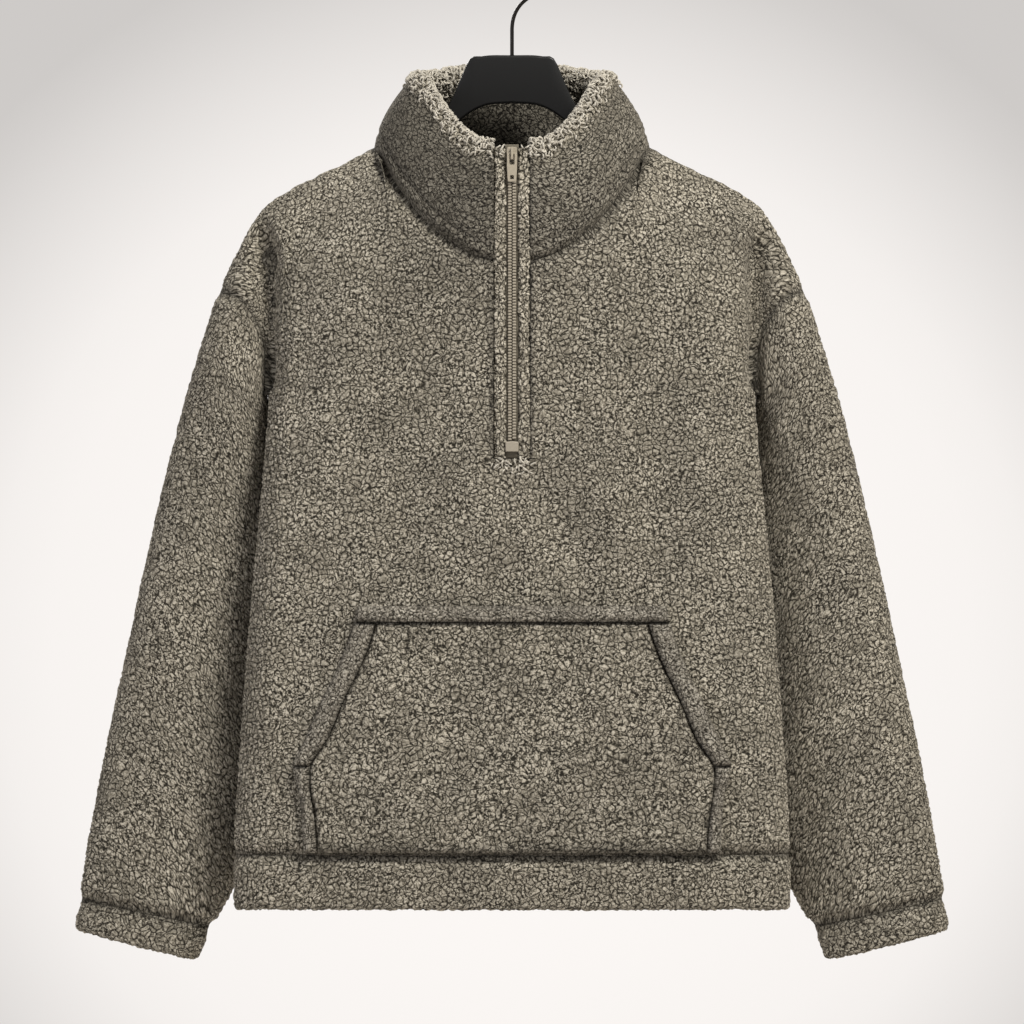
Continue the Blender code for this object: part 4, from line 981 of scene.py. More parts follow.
def nub_distance(tree, place):
    """Socket with the distance from each place to the gaps between the nubs, in nub sizes."""
    wander = add_node(
        tree,
        "ShaderNodeTexNoise",
        {"Vector": place, "Scale": 1 / WANDER_SIZE, "Detail": 1.0},
        noise_dimensions="3D",
    )
    centred = vector_maths(tree, "SUBTRACT", wander.outputs["Color"], (0.5, 0.5, 0.5)).outputs[0]
    bent = vector_maths(tree, "ADD", place, scaled(tree, centred, WANDER * 2)).outputs[0]
    cells = add_node(
        tree,
        "ShaderNodeTexVoronoi",
        {"Vector": bent, "Scale": 1 / NUB_SIZE, "Randomness": 0.95},
        feature="DISTANCE_TO_EDGE",
        voronoi_dimensions="2D",
    )
    return cells.outputs["Distance"]


print("nubs", NUB_SIZE * 1000, "mm across")

# %% [markdown]
# ## Sherpa fleece as a material
# Polyester fleece is dull, dyed grey-taupe. Its colour holds painted light: the nubs' tips are
# lightened as painted highlight and the gaps between nubs darkened as painted shade, and the
# loose fibres give a faint sheen at grazing angles. Height from the nub recipe feeds both colour
# and bump, with a fine fibre noise on top. A slow noise makes patches where the pile is brushed
# flat a little lighter or darker. Less pile darkens the colour too, as painted shade.

# %% Material: sherpa fleece
FIBRE_SIZE = 0.0021
PATCH_SIZE = 0.045
BRUSHED_SIZE = 0.030
NUB_BUMP = 0.0012
FIBRE_BUMP = 0.0009
# painted shade: the colour darkens over this share of a nub towards its gaps and lightens on its
# top
PAINTED_GAP_SHADE = 0.17
GAP_SHADE_TONE, NUB_TONE = -0.48, 0.08
FIBRE_CONTRAST = (2.2, 4.6)
PATCH_SHADE = (0.84, 1.16)
PILE_MOST, PILE_PAINTED_SHADE = 1.7, (0.38, 1.36)


def sherpa_material(name, gap, body, tip, nubs=1.0, fibres=1.0):
    """Curled polyester pile in three tones: painted shade in the gaps between nubs, the pile
    itself, and lighter tips that are partly painted highlight.
    """
    material, tree, shader = new_material(name)
    place = attribute(tree, "place", "Vector")
    pile = attribute(tree, "pile", "Fac")
    tones = (GAP_SHADE_TONE * nubs, NUB_TONE * nubs)
    distance = nub_distance(tree, place)
    # painted shade in the gaps between nubs and painted highlight on their tops
    height = map_range(tree, distance, 0, PAINTED_GAP_SHADE, *tones, interpolation_type="SMOOTHSTEP")
    fibre = noise(tree, place, 1 / FIBRE_SIZE, 2.5, Distortion=0.9)
    brushed = noise(tree, place, 1 / BRUSHED_SIZE, 1.0)
    contrast = map_range(tree, brushed, 0.35, 0.65, *FIBRE_CONTRAST)
    lift = maths(tree, "MULTIPLY", maths(tree, "SUBTRACT", fibre, 0.5), contrast)
    tone = maths(tree, "ADD", height, maths(tree, "MULTIPLY_ADD", lift, fibres, 0.5))
    patches = noise(tree, place, 1 / PATCH_SIZE, 3.0)
    shade = map_range(tree, patches, 0.3, 0.7, *PATCH_SHADE)
    # painted shade and light: where the pile is set low, at seams, patch rims, the pocket's foot
    # and on the collar, the colour is darkened; where it is set high, lightened
    shade = maths(tree, "MULTIPLY", shade, map_range(tree, pile, 0, PILE_MOST, *PILE_PAINTED_SHADE))
    colour = colour_ramp(tree, tone, (0.0, gap), (0.5, body), (1.0, tip))
    nub_bump = bump(tree, height, NUB_BUMP, Strength=1.0)
    finish = {
        "Base Color": scaled(tree, colour, shade),
        "Normal": bump(tree, fibre, FIBRE_BUMP, Strength=0.8, Normal=nub_bump),
        "Roughness": 0.95,
        "Specular IOR Level": 0.25,
        "Sheen Weight": 0.25,
        "Sheen Roughness": 0.5,
        "Sheen Tint": linear("#c9c0b0"),
    }
    fill_inputs(tree, shader, finish)
    return material


sherpa = sherpa_material("sherpa fleece, grey taupe", "#221f18", "#787265", "#b6afa0")
short_tones = ("#25221b", "#7b756a", "#b3ada0")
facing = sherpa_material("sherpa fleece, sheared short", *short_tones, nubs=0.85, fibres=0.95)
FINER = 1.2
print("made", sherpa.name)

# %% [markdown]
# ## Raising the pile with Geometry Nodes
# The tree sinks the gaps between the nubs below the skin, more where there is more pile. A slower
# noise makes clumps of nubs stand unevenly, as brushed pile does. It reads the same places along
# the cloth as the material, so each painted nub sits on its own bump.

# %% Geometry Nodes: pile
CLUMP_SIZE, CLUMP_LEVEL = 0.016, 0.7
SUNK_GAP = 0.40


def new_tree(name, more_inputs):
    """A Geometry Nodes tree with a mesh, some inputs and a finish, and its input node."""
    tree = bpy.data.node_groups.new(name, "GeometryNodeTree")
    inputs = {"Geometry": "Geometry", **more_inputs, "Finish": "Material"}
    for label, kind in inputs.items():
        tree.interface.new_socket(label, in_out="INPUT", socket_type="NodeSocket" + kind)
    tree.interface.new_socket("Geometry", in_out="OUTPUT", socket_type="NodeSocketGeometry")
    return tree, add_node(tree, "NodeGroupInput")


def ended(tree, geometry, given):
    """The tree with its end: instances made real, painted with the finish and handed over."""
    real = add_node(tree, "GeometryNodeRealizeInstances", {"Geometry": geometry})
    paint = {"Geometry": real.outputs[0], "Material": given.outputs["Finish"]}
    painted = add_node(tree, "GeometryNodeSetMaterial", paint)
    add_node(tree, "NodeGroupOutput", {0: painted.outputs[0]})
    return tree


def named(tree, name, kind):
    """An attribute of the mesh, read in Geometry Nodes."""
    node = add_node(tree, "GeometryNodeInputNamedAttribute", {"Name": name}, data_type=kind)
    return node.outputs["Attribute"]


def pile_tree():
    """Node tree that presses the gaps between nubs into a skin, as deep as its pile allows."""
    tree, given = new_tree("sherpa pile", {"Pile depth": "Float", "Clump depth": "Float"})
    place, pile = named(tree, "place", "FLOAT_VECTOR"), named(tree, "pile", "FLOAT")
    distance = nub_distance(tree, place)
    sink = map_range(tree, distance, 0, SUNK_GAP, -1.0, 0.0, interpolation_type="SMOOTHSTEP")
    clump = maths(tree, "SUBTRACT", noise(tree, place, 1 / CLUMP_SIZE, 1.0), CLUMP_LEVEL)
    deep = maths(tree, "MULTIPLY", sink, given.outputs["Pile depth"])
    wide = maths(tree, "MULTIPLY", clump, given.outputs["Clump depth"])
    amount = maths(tree, "MULTIPLY", maths(tree, "ADD", deep, wide), pile)
    normal = add_node(tree, "GeometryNodeInputNormal").outputs[0]
    move = {"Geometry": given.outputs["Geometry"], "Offset": scaled(tree, normal, amount)}
    moved = add_node(tree, "GeometryNodeSetPosition", move)
    return ended(tree, moved.outputs[0], given)


def evaluated_mesh(made):
    """A plain mesh of what an object shows once its modifiers or curve settings have run."""
    bpy.context.view_layer.update()
    seen = made.evaluated_get(bpy.context.evaluated_depsgraph_get())
    return bpy.data.meshes.new_from_object(seen)


def run_nodes(made, tree, **values):
    """Apply a node tree to an object with named input values, and keep the plain mesh."""
    modifier = made.modifiers.new(tree.name, "NODES")
    modifier.node_group = tree
    for item in tree.interface.items_tree:
        if item.item_type == "SOCKET" and item.in_out == "INPUT" and item.name in values:
            modifier[item.identifier] = values[item.name]
    mesh = evaluated_mesh(made)
    made.modifiers.remove(modifier)
    made.data = mesh
    mesh.name = made.name
    return made


raise_pile = pile_tree()
PILE_DEPTH, CLUMP_DEPTH = 0.0014, 0.0018


def fleece_object(name, points, faces, amount, places, finish=sherpa, clump_depth=CLUMP_DEPTH):
    """Cloth from its points, faces, pile and places, with the pile raised on it."""
    made = mesh_object(name + "_cloth", lowered(points), faces, amount, places)
    depths = {"Pile depth": PILE_DEPTH, "Clump depth": clump_depth}
    return run_nodes(made, raise_pile, **depths, Finish=finish)


print("tree with", len(raise_pile.nodes), "nodes")

# %% [markdown]
# ## Finishing a piece
# Every finished piece rides on a body of the model and takes the place of its plain solid. For
# cloth, the flat size that it is cut to is printed.

# %% Finish a piece
def triangles(made):
    """How many triangles an object's faces make."""
    return sum(len(p.vertices) - 2 for p in made.data.polygons)


def finish_piece(made, slot, *nodes, body=GARMENT):
    """Ride on a body, replace CAD nodes and print the piece's triangles. The slot is not used."""
    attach(made, body)
    if nodes:
        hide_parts(*nodes)
    print(f"{made.name}: {triangles(made)} triangles")
    return made


def net_area(skin, around=False):
    """Area of a net, which is the flat area that its piece is cut to."""
    return float(np.linalg.norm(area_vectors(skin, around), axis=2).sum() / 8)


def declare_cut(skin, around=False):
    """Say how large the cloth was cut: its width, its length and the area between."""
    loop = np.concatenate([skin, skin[:, :1]], axis=1) if around else skin
    width = float(np.linalg.norm(np.diff(loop, axis=1), axis=2).sum(axis=1).max())
    length = float(np.linalg.norm(np.diff(skin, axis=0), axis=2).sum(axis=0).max())
    area = net_area(skin, around)
    area = min(area, width * length)
    print(f"  cut {width * 1000:.0f} x {length * 1000:.0f} mm, {area:.3f} square metres")


# %% [markdown]
# ## Front and back
# The front has a slot for the zip from its neckline down to the chest. Its pile is left out
# where the pocket covers it, because two layers of fleece there would poke through each other.

# %% Front and back panels
POCKET_FADE = 0.004


def in_zip_slot(row, column):
    """Whether a cell of the front lies in the slot for the zip."""
    return row >= SLOT_ROW and CENTRE - SLOT_COLUMNS <= column < CENTRE + SLOT_COLUMNS


def pocket_edge(h, inwards):
    """Half width of the pocket at a height, or of its panel inside the bands."""
    return table_at(POCKET, "half_width", h) - table_at(POCKET, "band", h) * inwards


def under_pocket(points):
    """1 where the pocket covers a point, 0 elsewhere."""
    h = points[..., 2]
    inside = pocket_edge(h, 0) - np.abs(points[..., 0])
    below_top = POCKET[-1].height - h
    return smoothstep(inside / POCKET_FADE) * smoothstep(below_top / POCKET_FADE)


ZIP_EASE, ZIP_EASE_REACH = 0.85, 0.012


def cloth_panel(name, skin, seams, around=False, cut=None, covered=0.0):
    """A panel of sherpa: its skin dipped at the seams, its wall closed and its pile raised."""
    lines = [line for seam in seams for line in seam_lines[seam]]
    distance = distance_to(lines, skin)
    dips = drawn_in(distance, exact[name]) * away_from_neck_corner(skin)
    if cut:
        from_zip = distance_to(seam_lines["zip"], skin)
        dips *= 1 - ZIP_EASE * smoothstep(1.5 - from_zip / ZIP_EASE_REACH)
    outer = skin - exact[name] * dips[..., None]
    inner = skin - directions[name] * FLEECE
    pile = pile_and_shade_near(distance) * (1 - covered)
    if not around:
        # painted shade and light in soft patches, such as the shadow under the collar
        pile = pile * pile_and_painted_shade_at(skin[..., 0], skin[..., 2])
    place = places_on(skin, around, list(skins).index(name), flat=not around)
    made = fleece_object(name, *wall(outer, inner, pile, place, around, cut))
    finish_piece(made, "sherpa", name)
    declare_cut(skin, around)
    return made


BODY_SEAMS = ("hem", "neck", "armholes", "shoulders", "sides")
cloth_panel("front", front, BODY_SEAMS + ("zip",), cut=in_zip_slot, covered=under_pocket(front))
cloth_panel("back", back, BODY_SEAMS)
for side in ("right", "left"):
    cloth_panel(f"sleeve_{side}", skins[f"sleeve_{side}"], ("armholes", "cuffs"), around=True)

# %% [markdown]
# ## Collar, hem band and cuffs
# These are folded double: one net runs down the outer face, round the fold and up the inside,
# where the fleece shows again. A row of topstitching holds the collar's seam allowance flat, and
# so presses a second groove beside the seam, darkened with less pile as painted shade. Along the
# collar's rim the fold lifts the pile, so there the curls stand longest and the colour is
# lighter, partly as painted light. Below the rim the pile is set short and the colour dark as
# painted shade, more so on the left, and the collar's inside is darkened the same way.

# %% Folded pieces
TOPSTITCH = {"collar": 0.0125, "cuff_right": 0.0085, "cuff_left": 0.0085}
TOPSTITCH_DIP, TOPSTITCH_WIDTH = 0.0030, 0.0028
RIM_SWELL, RIM_SWELL_START = 0.0022, 0.80
# painted light on the collar: its rim lighter, with painted shade below the rim and on its inside
RIM_PILE_AND_LIGHT, RIM_LIFT_ROWS = 1.0, (13, 9)
COLLAR_SHORT_SHADED, COLLAR_TURN, COLLAR_INSIDE_SHADE = (0.05, 0.36), 0.10, 0.08
STITCH_PILE_SHADED = 0.5
THIN_SHARE = 0.2


def folded_piece(name, *seams):
    """A double band of sherpa with its seam groove, topstitching and folded edge."""
    skin = skins[name]
    around = name in TUBES
    up = np.linspace(0, 1, len(skin))[:, None, None]
    thickness = np.full(up.shape, DOUBLE_FLEECE)
    swell = np.zeros(up.shape)
    if name == "collar":
        thickness = FLEECE + (DOUBLE_FLEECE - FLEECE) * smoothstep(up / THIN_SHARE)
        swell = RIM_SWELL * smoothstep((up - RIM_SWELL_START) / (1 - RIM_SWELL_START))
    net = turned(skin + directions[name] * swell, directions[name], thickness + swell)
    distance = distance_to(seam_lines[seams[0]], net)
    dips = groove(distance)
    if name in TOPSTITCH:
        stitched = np.abs(distance - TOPSTITCH[name])
        dips += TOPSTITCH_DIP * np.exp(-((stitched / TOPSTITCH_WIDTH) ** 2))
    ways = unit(area_vectors(net, around))
    dips = dips * (SEAM_ROUND + (1 - SEAM_ROUND) * np.abs(ways[..., 1]))
    pile = pile_and_shade_near(distance)
    # painted shade: less pile along the topstitching darkens its groove
    if name in TOPSTITCH:
        pile = pile * (STITCH_PILE_SHADED + (1 - STITCH_PILE_SHADED) * smoothstep(stitched / TOPSTITCH_WIDTH))
    for seam in seams[1:]:
        from_end = distance_to(seam_lines[seam], net)
        dips += groove(from_end) * (1 - ZIP_EASE)
        pile = pile * pile_and_shade_near(from_end)
    # painted shade: short pile darkens the collar below its rim, more on the left, and its inside
    # most; the lifted rim is lighter, partly painted light
    if name == "collar":
        fold_row = len(skin) + FOLD_STEPS // 2
        past_fold = (np.arange(len(net)) - fold_row)[:, None]
        lifted = smoothstep(1.1 - np.abs(past_fold) / np.where(past_fold < 0, *RIM_LIFT_ROWS))
        right = smoothstep(net[..., 0] / COLLAR_TURN + 0.5)
        short = COLLAR_SHORT_SHADED[0] + (COLLAR_SHORT_SHADED[1] - COLLAR_SHORT_SHADED[0]) * right
        short = np.where(past_fold > 0, COLLAR_INSIDE_SHADE, short)
        pile = pile * (short + (1 + RIM_PILE_AND_LIGHT - short) * lifted)
    place = places_on(net, around, list(skins).index(name))
    faces = turned_faces(*net.shape[:2], around)
    net = net - ways * (dips * away_from_neck_corner(net))[..., None]
    made = fleece_object(name, net, faces, pile, place)
    finish_piece(made, "sherpa", name)
    declare_cut(skin, around)
    return net


collar_net = folded_piece("collar", "neck", "collar ends")
folded_piece("hem_band", "hem")
for side in ("right", "left"):
    folded_piece(f"cuff_{side}", "cuffs")

# %% [markdown]
# ## Pocket
# The pocket is a panel sewn on the front, with a folded band along its top, a wider one beside
# each slanted opening and a narrow strip below that. Each is laid on the front's own surface
# and stands off it by the cloth's thickness, with its edges rolled down to the front.

# %% Pocket pieces
SLOPE_STEP = 0.002
EDGE_ROLL = 0.0050
EDGE_HEIGHT = 0.20
BAND_PILE = 1.0
POCKET_FOOT_SHADE, POCKET_FOOT_REACH = 0.35, 0.016
FOLD_FADE = 0.02
RIM_LEAST_SHADED, RIM_REACH = 0.45, 0.006
POCKET_GAP = 0.0003
BAND_RISE = {"top": 0.0042, "opening": 0.0036, "side": 0.0024}


def laid_on_front(x, h):
    """Points of the front's skin and its outward directions, for what lies on it."""
    step = SLOPE_STEP
    point = np.stack([x, skin_y(x, h, "front"), h], axis=-1)
    slope_x = skin_y(x + step, h, "front") - skin_y(x - step, h, "front")
    slope_h = skin_y(x, h + step, "front") - skin_y(x, h - step, "front")
    across = np.stack([x * 0 + 2 * step, slope_x, h * 0], -1)
    up = np.stack([x * 0, slope_h, h * 0 + 2 * step], -1)
    return point, unit(np.cross(across, up))


def patch(name, x, h, thickness, folds=(), roll=EDGE_ROLL, pile=1.0, piece=0, finish=sherpa):
    """A piece of fleece sewn on the front, its edges rolled down and darkened as painted shade.
    """
    point, way = laid_on_front(x, h)
    rim = [point[0], point[-1], point[:, 0], point[:, -1]]
    distance = distance_to(rim, point)
    rolled = EDGE_HEIGHT + (1 - EDGE_HEIGHT) * np.sqrt(rounded(distance / roll))
    folded = folds_at(x, h, folds) * smoothstep(distance / FOLD_FADE)
    rise = (thickness * rolled + folded)[..., None]
    outer = point + way * (LAY_GAP + rise)
    inner = point + way * LAY_GAP
    finer = FINER if finish is facing else 1.0
    place = flat_places(x * finer, h * finer, piece)
    # painted shade: less pile and darker colour towards the patch's rim, with the soft patches of
    # painted shade and light on top
    amount = pile * np.clip(RIM_LEAST_SHADED + distance / RIM_REACH, 0, 1) * pile_and_painted_shade_at(x, h)
    made = fleece_object(name, *wall(outer, inner, amount, place), finish=finish)
    return finish_piece(made, "sherpa", name)


def grid_steps(cells, coarse):
    """Number of points along a net so that the coarse inside ends on its rim."""
    return max(1, round(cells / coarse)) * coarse + 1


def make_pocket():
    """The pocket's panel, its top band, the slanted opening bands and the lower side strips."""
    corner, bottom, top = POCKET[POCKET_CORNER].height, POCKET[0].height, POCKET[-1].height
    gap = POCKET_GAP
    heights = np.linspace(bottom, POCKET_BAND_BOTTOM, grid_steps(96, COARSE_ROWS))
    across = np.linspace(-1, 1, grid_steps(168, COARSE_COLUMNS))
    x = (pocket_edge(heights, 1) - gap)[:, None] * across
    # painted shade: less pile and darker colour towards the pocket's bottom, as the shadow above
    # the hem
    foot_shaded = POCKET_FOOT_SHADE + (1 - POCKET_FOOT_SHADE) * smoothstep((heights - bottom) / POCKET_FOOT_REACH)
    level = heights[:, None] + 0 * across
    pocket = patch("pocket", x, level, FLEECE, FOLDS["pocket"], pile=foot_shaded[:, None], piece=11)
    rows = np.linspace(POCKET_BAND_BOTTOM + gap, top, grid_steps(12, COARSE_ROWS))
    x = pocket_edge(rows, 0)[:, None] * across
    band = {"pile": BAND_PILE, "finish": facing}
    level = rows[:, None] + 0 * across
    bands = [patch("pocket_top_band", x, level, FLEECE + BAND_RISE["top"], piece=12, **band)]
    strips = {
        "opening": (corner + gap, POCKET_BAND_BOTTOM - gap, 72),
        "side": (bottom, corner - gap, 36),
    }
    spread = np.linspace(0, 1, grid_steps(16, COARSE_COLUMNS))
    for part, (low, high, count) in strips.items():
        h = np.linspace(low, high, grid_steps(count, COARSE_ROWS))
        inner, outer = pocket_edge(h, 1) + gap, pocket_edge(h, 0)
        edge = inner[:, None] + (outer - inner)[:, None] * spread
        level = h[:, None] + 0 * edge
        thickness = FLEECE + BAND_RISE[part]
        for side, x, piece in (("right", edge, 13), ("left", -edge[:, ::-1], 14)):
            bands.append(patch(f"pocket_{part}_{side}", x, level, thickness, piece=piece, **band))
    area = float(np.trapz(2 * pocket_edge(heights, 1), heights))


make_pocket()

# %% [markdown]
# ## Strips and tape of the zip
# The fleece is turned in beside the zip as two narrow rolled strips with their full pile. Behind
# them lies the woven tape, which carries the teeth. All of them follow the front's own bulge, so
# their depth is read from the front's edge and, above it, the collar's.

# %% Zip strips and tape
PLACKET_EDGE = -0.0004
PLACKET_CROWN, PLACKET_SHOULDER = 0.0024, 0.0020
PLACKET_PILE = 1.3
PLACKET_TOP = 0.6450
ZIP_CLEAR = 0.0005
PLACKET_REACH = 0.0010
TAPE_FRONT, TAPE_THICKNESS, TAPE_CLEAR = 0.0036, 0.0012, 0.0003
WEAVE_SCALE, WEAVE_BUMP = 350.0, 0.0002
zip_edge = np.concatenate(
    [
        (front[SLOT_ROW:, CENTRE - SLOT_COLUMNS] + front[SLOT_ROW:, CENTRE + SLOT_COLUMNS]) / 2,
        (skins["collar"][1:, 0] + skins["collar"][1:, -1]) / 2,
    ]
)


def zip_y(h):
    """Depth of the zip's front plane at a height, carried on past the collar's fold."""
    slope = (zip_edge[-1, 1] - zip_edge[-2, 1]) / (zip_edge[-1, 2] - zip_edge[-2, 2])
    past = np.maximum(np.asarray(h) - zip_edge[-1, 2], 0)
    return np.interp(h, zip_edge[:, 2], zip_edge[:, 1]) + slope * past


def zip_strip(name, x, h, front_in, back_in, pile, finish, piece):
    """A strip beside or behind the teeth, from front_in to back_in under the zip's plane."""
    x, h = np.broadcast_arrays(x, h)
    outer = np.stack([x, zip_y(h) + front_in, h], axis=2)
    inner = np.stack([x, zip_y(h) + back_in, h], axis=2)
    place = flat_places(x, h, piece)
    parts = wall(outer, inner, np.full(x.shape, float(pile)), place)
    return fleece_object(name, *parts, finish=finish, clump_depth=0.0)


def tape_material():
    """Woven polyester tape: fine ribs along its length, dyed to match the fleece."""
    material, tree, shader = new_material("woven zip tape, polyester")
    place = attribute(tree, "place", "Vector")
    weave = {"Vector": place, "Scale": WEAVE_SCALE, "Distortion": 0.4}
    ribs = add_node(tree, "ShaderNodeTexWave", weave, bands_direction="X").outputs["Fac"]
    finish = {
        "Base Color": colour_ramp(tree, ribs, (0.0, "#4d473b"), (1.0, "#716a5c")),
        "Normal": bump(tree, ribs, WEAVE_BUMP),
        "Roughness": 0.8,
    }
    fill_inputs(tree, shader, finish)
    return material


woven_tape = tape_material()
strip_rows = np.linspace(0, 1, grid_steps(108, COARSE_ROWS))[:, None]
zip_low = ZIP_BOTTOM_HEIGHT + ZIP_CLEAR
strip_h = zip_low + (ZIP_TOP_HEIGHT - zip_low) * strip_rows
placket_h = zip_low + (PLACKET_TOP - zip_low) * strip_rows
strip_across = np.linspace(0, 1, grid_steps(8, COARSE_COLUMNS))[None, :]
for name, low, high, piece in (
    ("placket_left", -ZIP_SLOT_HALF, PLACKET_REACH - ZIP_GAP_HALF, 21),
    ("placket_right", ZIP_GAP_HALF - PLACKET_REACH, ZIP_SLOT_HALF, 22),
):
    x = low + PLACKET_EDGE + (high - low - 2 * PLACKET_EDGE) * strip_across
    crown = PLACKET_SHOULDER - PLACKET_CROWN * np.sqrt(1 - (2 * strip_across - 1) ** 2)
    made = zip_strip(name, x, placket_h, crown, FLEECE, PLACKET_PILE, sherpa, piece)
    finish_piece(made, "sherpa", name)
tape = zip_strip(
    "zip_tape",
    (ZIP_GAP_HALF - TAPE_CLEAR) * (2 * strip_across - 1),
    strip_h,
    TAPE_FRONT,
    TAPE_FRONT + TAPE_THICKNESS,
    0,
    woven_tape,
    23,
)
finish_piece(tape, "zip_tape", "zip_tape")

# %% [markdown]
# ## Teeth of the zip
# The teeth are moulded in one size at one pitch, so a single bead is repeated along two lines,
# one on each tape. The lines are half a pitch apart in height, which is how the two rows mesh.

# %% Geometry Nodes: teeth
TOOTH_PITCH = 0.0025
TOOTH_HALF = (0.00165, 0.00125, 0.00095)
TOOTH_BEVEL = 0.00055
CHAIN_CENTRE_X, CHAIN_Y = 0.00185, 0.0020
CHAIN_START, CHAIN_END = 0.0016, 0.001
STOP_BOTTOM, STOP_TOP, STOP_HALF = 0.3890, 0.3980, 0.0056
SLIDER_MIDDLE, SLIDER_HALF_LENGTH = 0.6400, 0.0055
MOTTLE_SCALE, MOTTLE_SHADE = 900.0, (0.85, 1.15)


def nylon_material(name, colour, roughness):
    """Moulded or coated zip part: an even colour with a faint mottle from dyeing."""
    material, tree, shader = new_material(name)
    mottle = noise(tree, object_place(tree), MOTTLE_SCALE, 2.0)
    tint = scaled(tree, linear(colour)[:3], map_range(tree, mottle, 0, 1, *MOTTLE_SHADE))
    finish = {"Roughness": roughness, "Coat Weight": 0.2, "Coat Roughness": 0.3}
    fill_inputs(tree, shader, {"Base Color": tint, **finish})
    return material


nylon = nylon_material("moulded zip teeth, acetal", "#958d7e", 0.45)
painted = nylon_material("zip slider and tab, painted zinc", "#9a9180", 0.42)
film = nylon_material("welded end of the zip tape, nylon", "#938b7c", 0.55)


def bead_object():
    """One tooth, a block with its edges taken off, kept out of the scene and only repeated."""
    shape = bmesh.new()
    bmesh.ops.create_cube(shape, size=2)
    bmesh.ops.scale(shape, vec=TOOTH_HALF, verts=shape.verts)
    bmesh.ops.bevel(shape, geom=shape.edges[:], offset=TOOTH_BEVEL, segments=1, affect="EDGES")
    mesh = bpy.data.meshes.new("tooth")
    shape.to_mesh(mesh)
    shape.free()
    return bpy.data.objects.new("tooth", mesh)


def teeth_tree():
    """Node tree that repeats a tooth along the edges of a mesh at one pitch."""
    tree, given = new_tree("zip teeth", {"Tooth": "Object", "Pitch": "Float"})
    line = add_node(tree, "GeometryNodeMeshToCurve", {"Mesh": given.outputs["Geometry"]})
    steps = {"Curve": line.outputs[0], "Length": given.outputs["Pitch"]}
    even = add_node(tree, "GeometryNodeResampleCurve", steps, mode="LENGTH")
    tooth = add_node(tree, "GeometryNodeObjectInfo", {"Object": given.outputs["Tooth"]})
    repeat = {"Points": even.outputs[0], "Instance": tooth.outputs["Geometry"]}
    placed = add_node(tree, "GeometryNodeInstanceOnPoints", repeat)
    return ended(tree, placed.outputs[0], given)


def line_object(name, lines):
    """A mesh of bare edges along some lines of points."""
    points, edges = [], []
    for line in lines:
        edges += [(len(points) + i, len(points) + i + 1) for i in range(len(line) - 1)]
        points += [tuple(point) for point in line]
    mesh = bpy.data.meshes.new(name)
    mesh.from_pydata(points, edges, [])
    return in_scene(name, mesh)


def chain_line(way):
    """Middles of the teeth on one side, half a pitch apart in height from the other side's."""
    bottom = STOP_TOP + CHAIN_START + (way > 0) * TOOTH_PITCH / 2
    h = np.arange(bottom, SLIDER_MIDDLE - SLIDER_HALF_LENGTH - CHAIN_END, TOOTH_PITCH)
    return lowered(np.stack([way * CHAIN_CENTRE_X + 0 * h, zip_y(h) + CHAIN_Y, h], axis=1))


chain = line_object("zip_teeth", [chain_line(-1), chain_line(1)])
run_nodes(chain, teeth_tree(), Tooth=bead_object(), Pitch=TOOTH_PITCH, Finish=nylon)
finish_piece(chain, "zip_teeth", "zip_chain")

# %% [markdown]
# ## Slider, pull tab and bottom end
# These are die-cast or punched flat parts with softened edges. Each is drawn as an outline with
# its holes, given a thickness and a small bevel. The tab's long hole lets it swing on the
# slider's bridge, and the small square hole near its end is where a cord could be tied. The
# ends of the tape are welded together under a smooth film, which stops the slider.

# %% Flat parts of the zip
SLIDER_BACK, SLIDER_FRONT = 0.0007, -0.0018
BRIDGE_HALF_WIDTH, BRIDGE_HALF_LENGTH = 0.0009, 0.0048
BRIDGE_INSIDE, BRIDGE_FRONT, BRIDGE_POST = -0.0048, -0.0061, 0.0015
TAB_AXIS_Y, TAB_THICKNESS, TAB_HALF_WIDTH = -0.0033, 0.0014, 0.0043
TAB_LENGTH, TAB_BAR = 0.0246, 0.0016
TAB_HOLE_HALF_WIDTH, TAB_HOLE_LENGTH = 0.0021, 0.0086
CORNER_POINTS = 5
SHIELD_BEVEL, BRIDGE_BEVEL, TAB_BEVEL, STOP_BEVEL = 0.0004, 0.0002, 0.0003, 0.0009


def rounded_outline(corners, radius):
    """A closed outline through some corners, each rounded to a radius."""
    count = len(corners)
    line = []
    for index in range(count):
        three = (corners[(index + step) % count] for step in (-1, 0, 1))
        before, here, after = (np.array(corner, float) for corner in three)
        start = here + unit(before - here) * radius
        end = here + unit(after - here) * radius
        for t in np.linspace(0, 1, CORNER_POINTS):
            line.append((1 - t) ** 2 * start + 2 * t * (1 - t) * here + t * t * end)
    return line


def flat_part(outlines, thickness, bevel):
    """A mesh of a plate with holes: its outlines filled, thickened and bevelled."""
    curve = bpy.data.curves.new("outline", "CURVE")
    curve.dimensions = "2D"
    curve.fill_mode = "BOTH"
    curve.extrude = thickness / 2 - bevel
    curve.bevel_depth = bevel
    curve.bevel_resolution = 2
    curve.offset = -bevel
    for outline in outlines:
        spline = curve.splines.new("POLY")
        spline.points.add(len(outline) - 1)
        for point, (x, y) in zip(spline.points, outline):
            point.co = (x, y, 0, 1)
        spline.use_cyclic_u = True
    drawn = in_scene("outline", curve)
    mesh = evaluated_mesh(drawn)
    bpy.data.objects.remove(drawn)
    shape = bmesh.new()
    shape.from_mesh(mesh)
    bmesh.ops.remove_doubles(shape, verts=shape.verts, dist=1e-6)
    bmesh.ops.recalc_face_normals(shape, faces=shape.faces)
    return shape


FACING_FRONT = Matrix(((1, 0, 0), (0, 0, -1), (0, 1, 0))).to_4x4()
FACING_SIDE = Matrix(((0, 0, 1), (1, 0, 0), (0, 1, 0))).to_4x4()


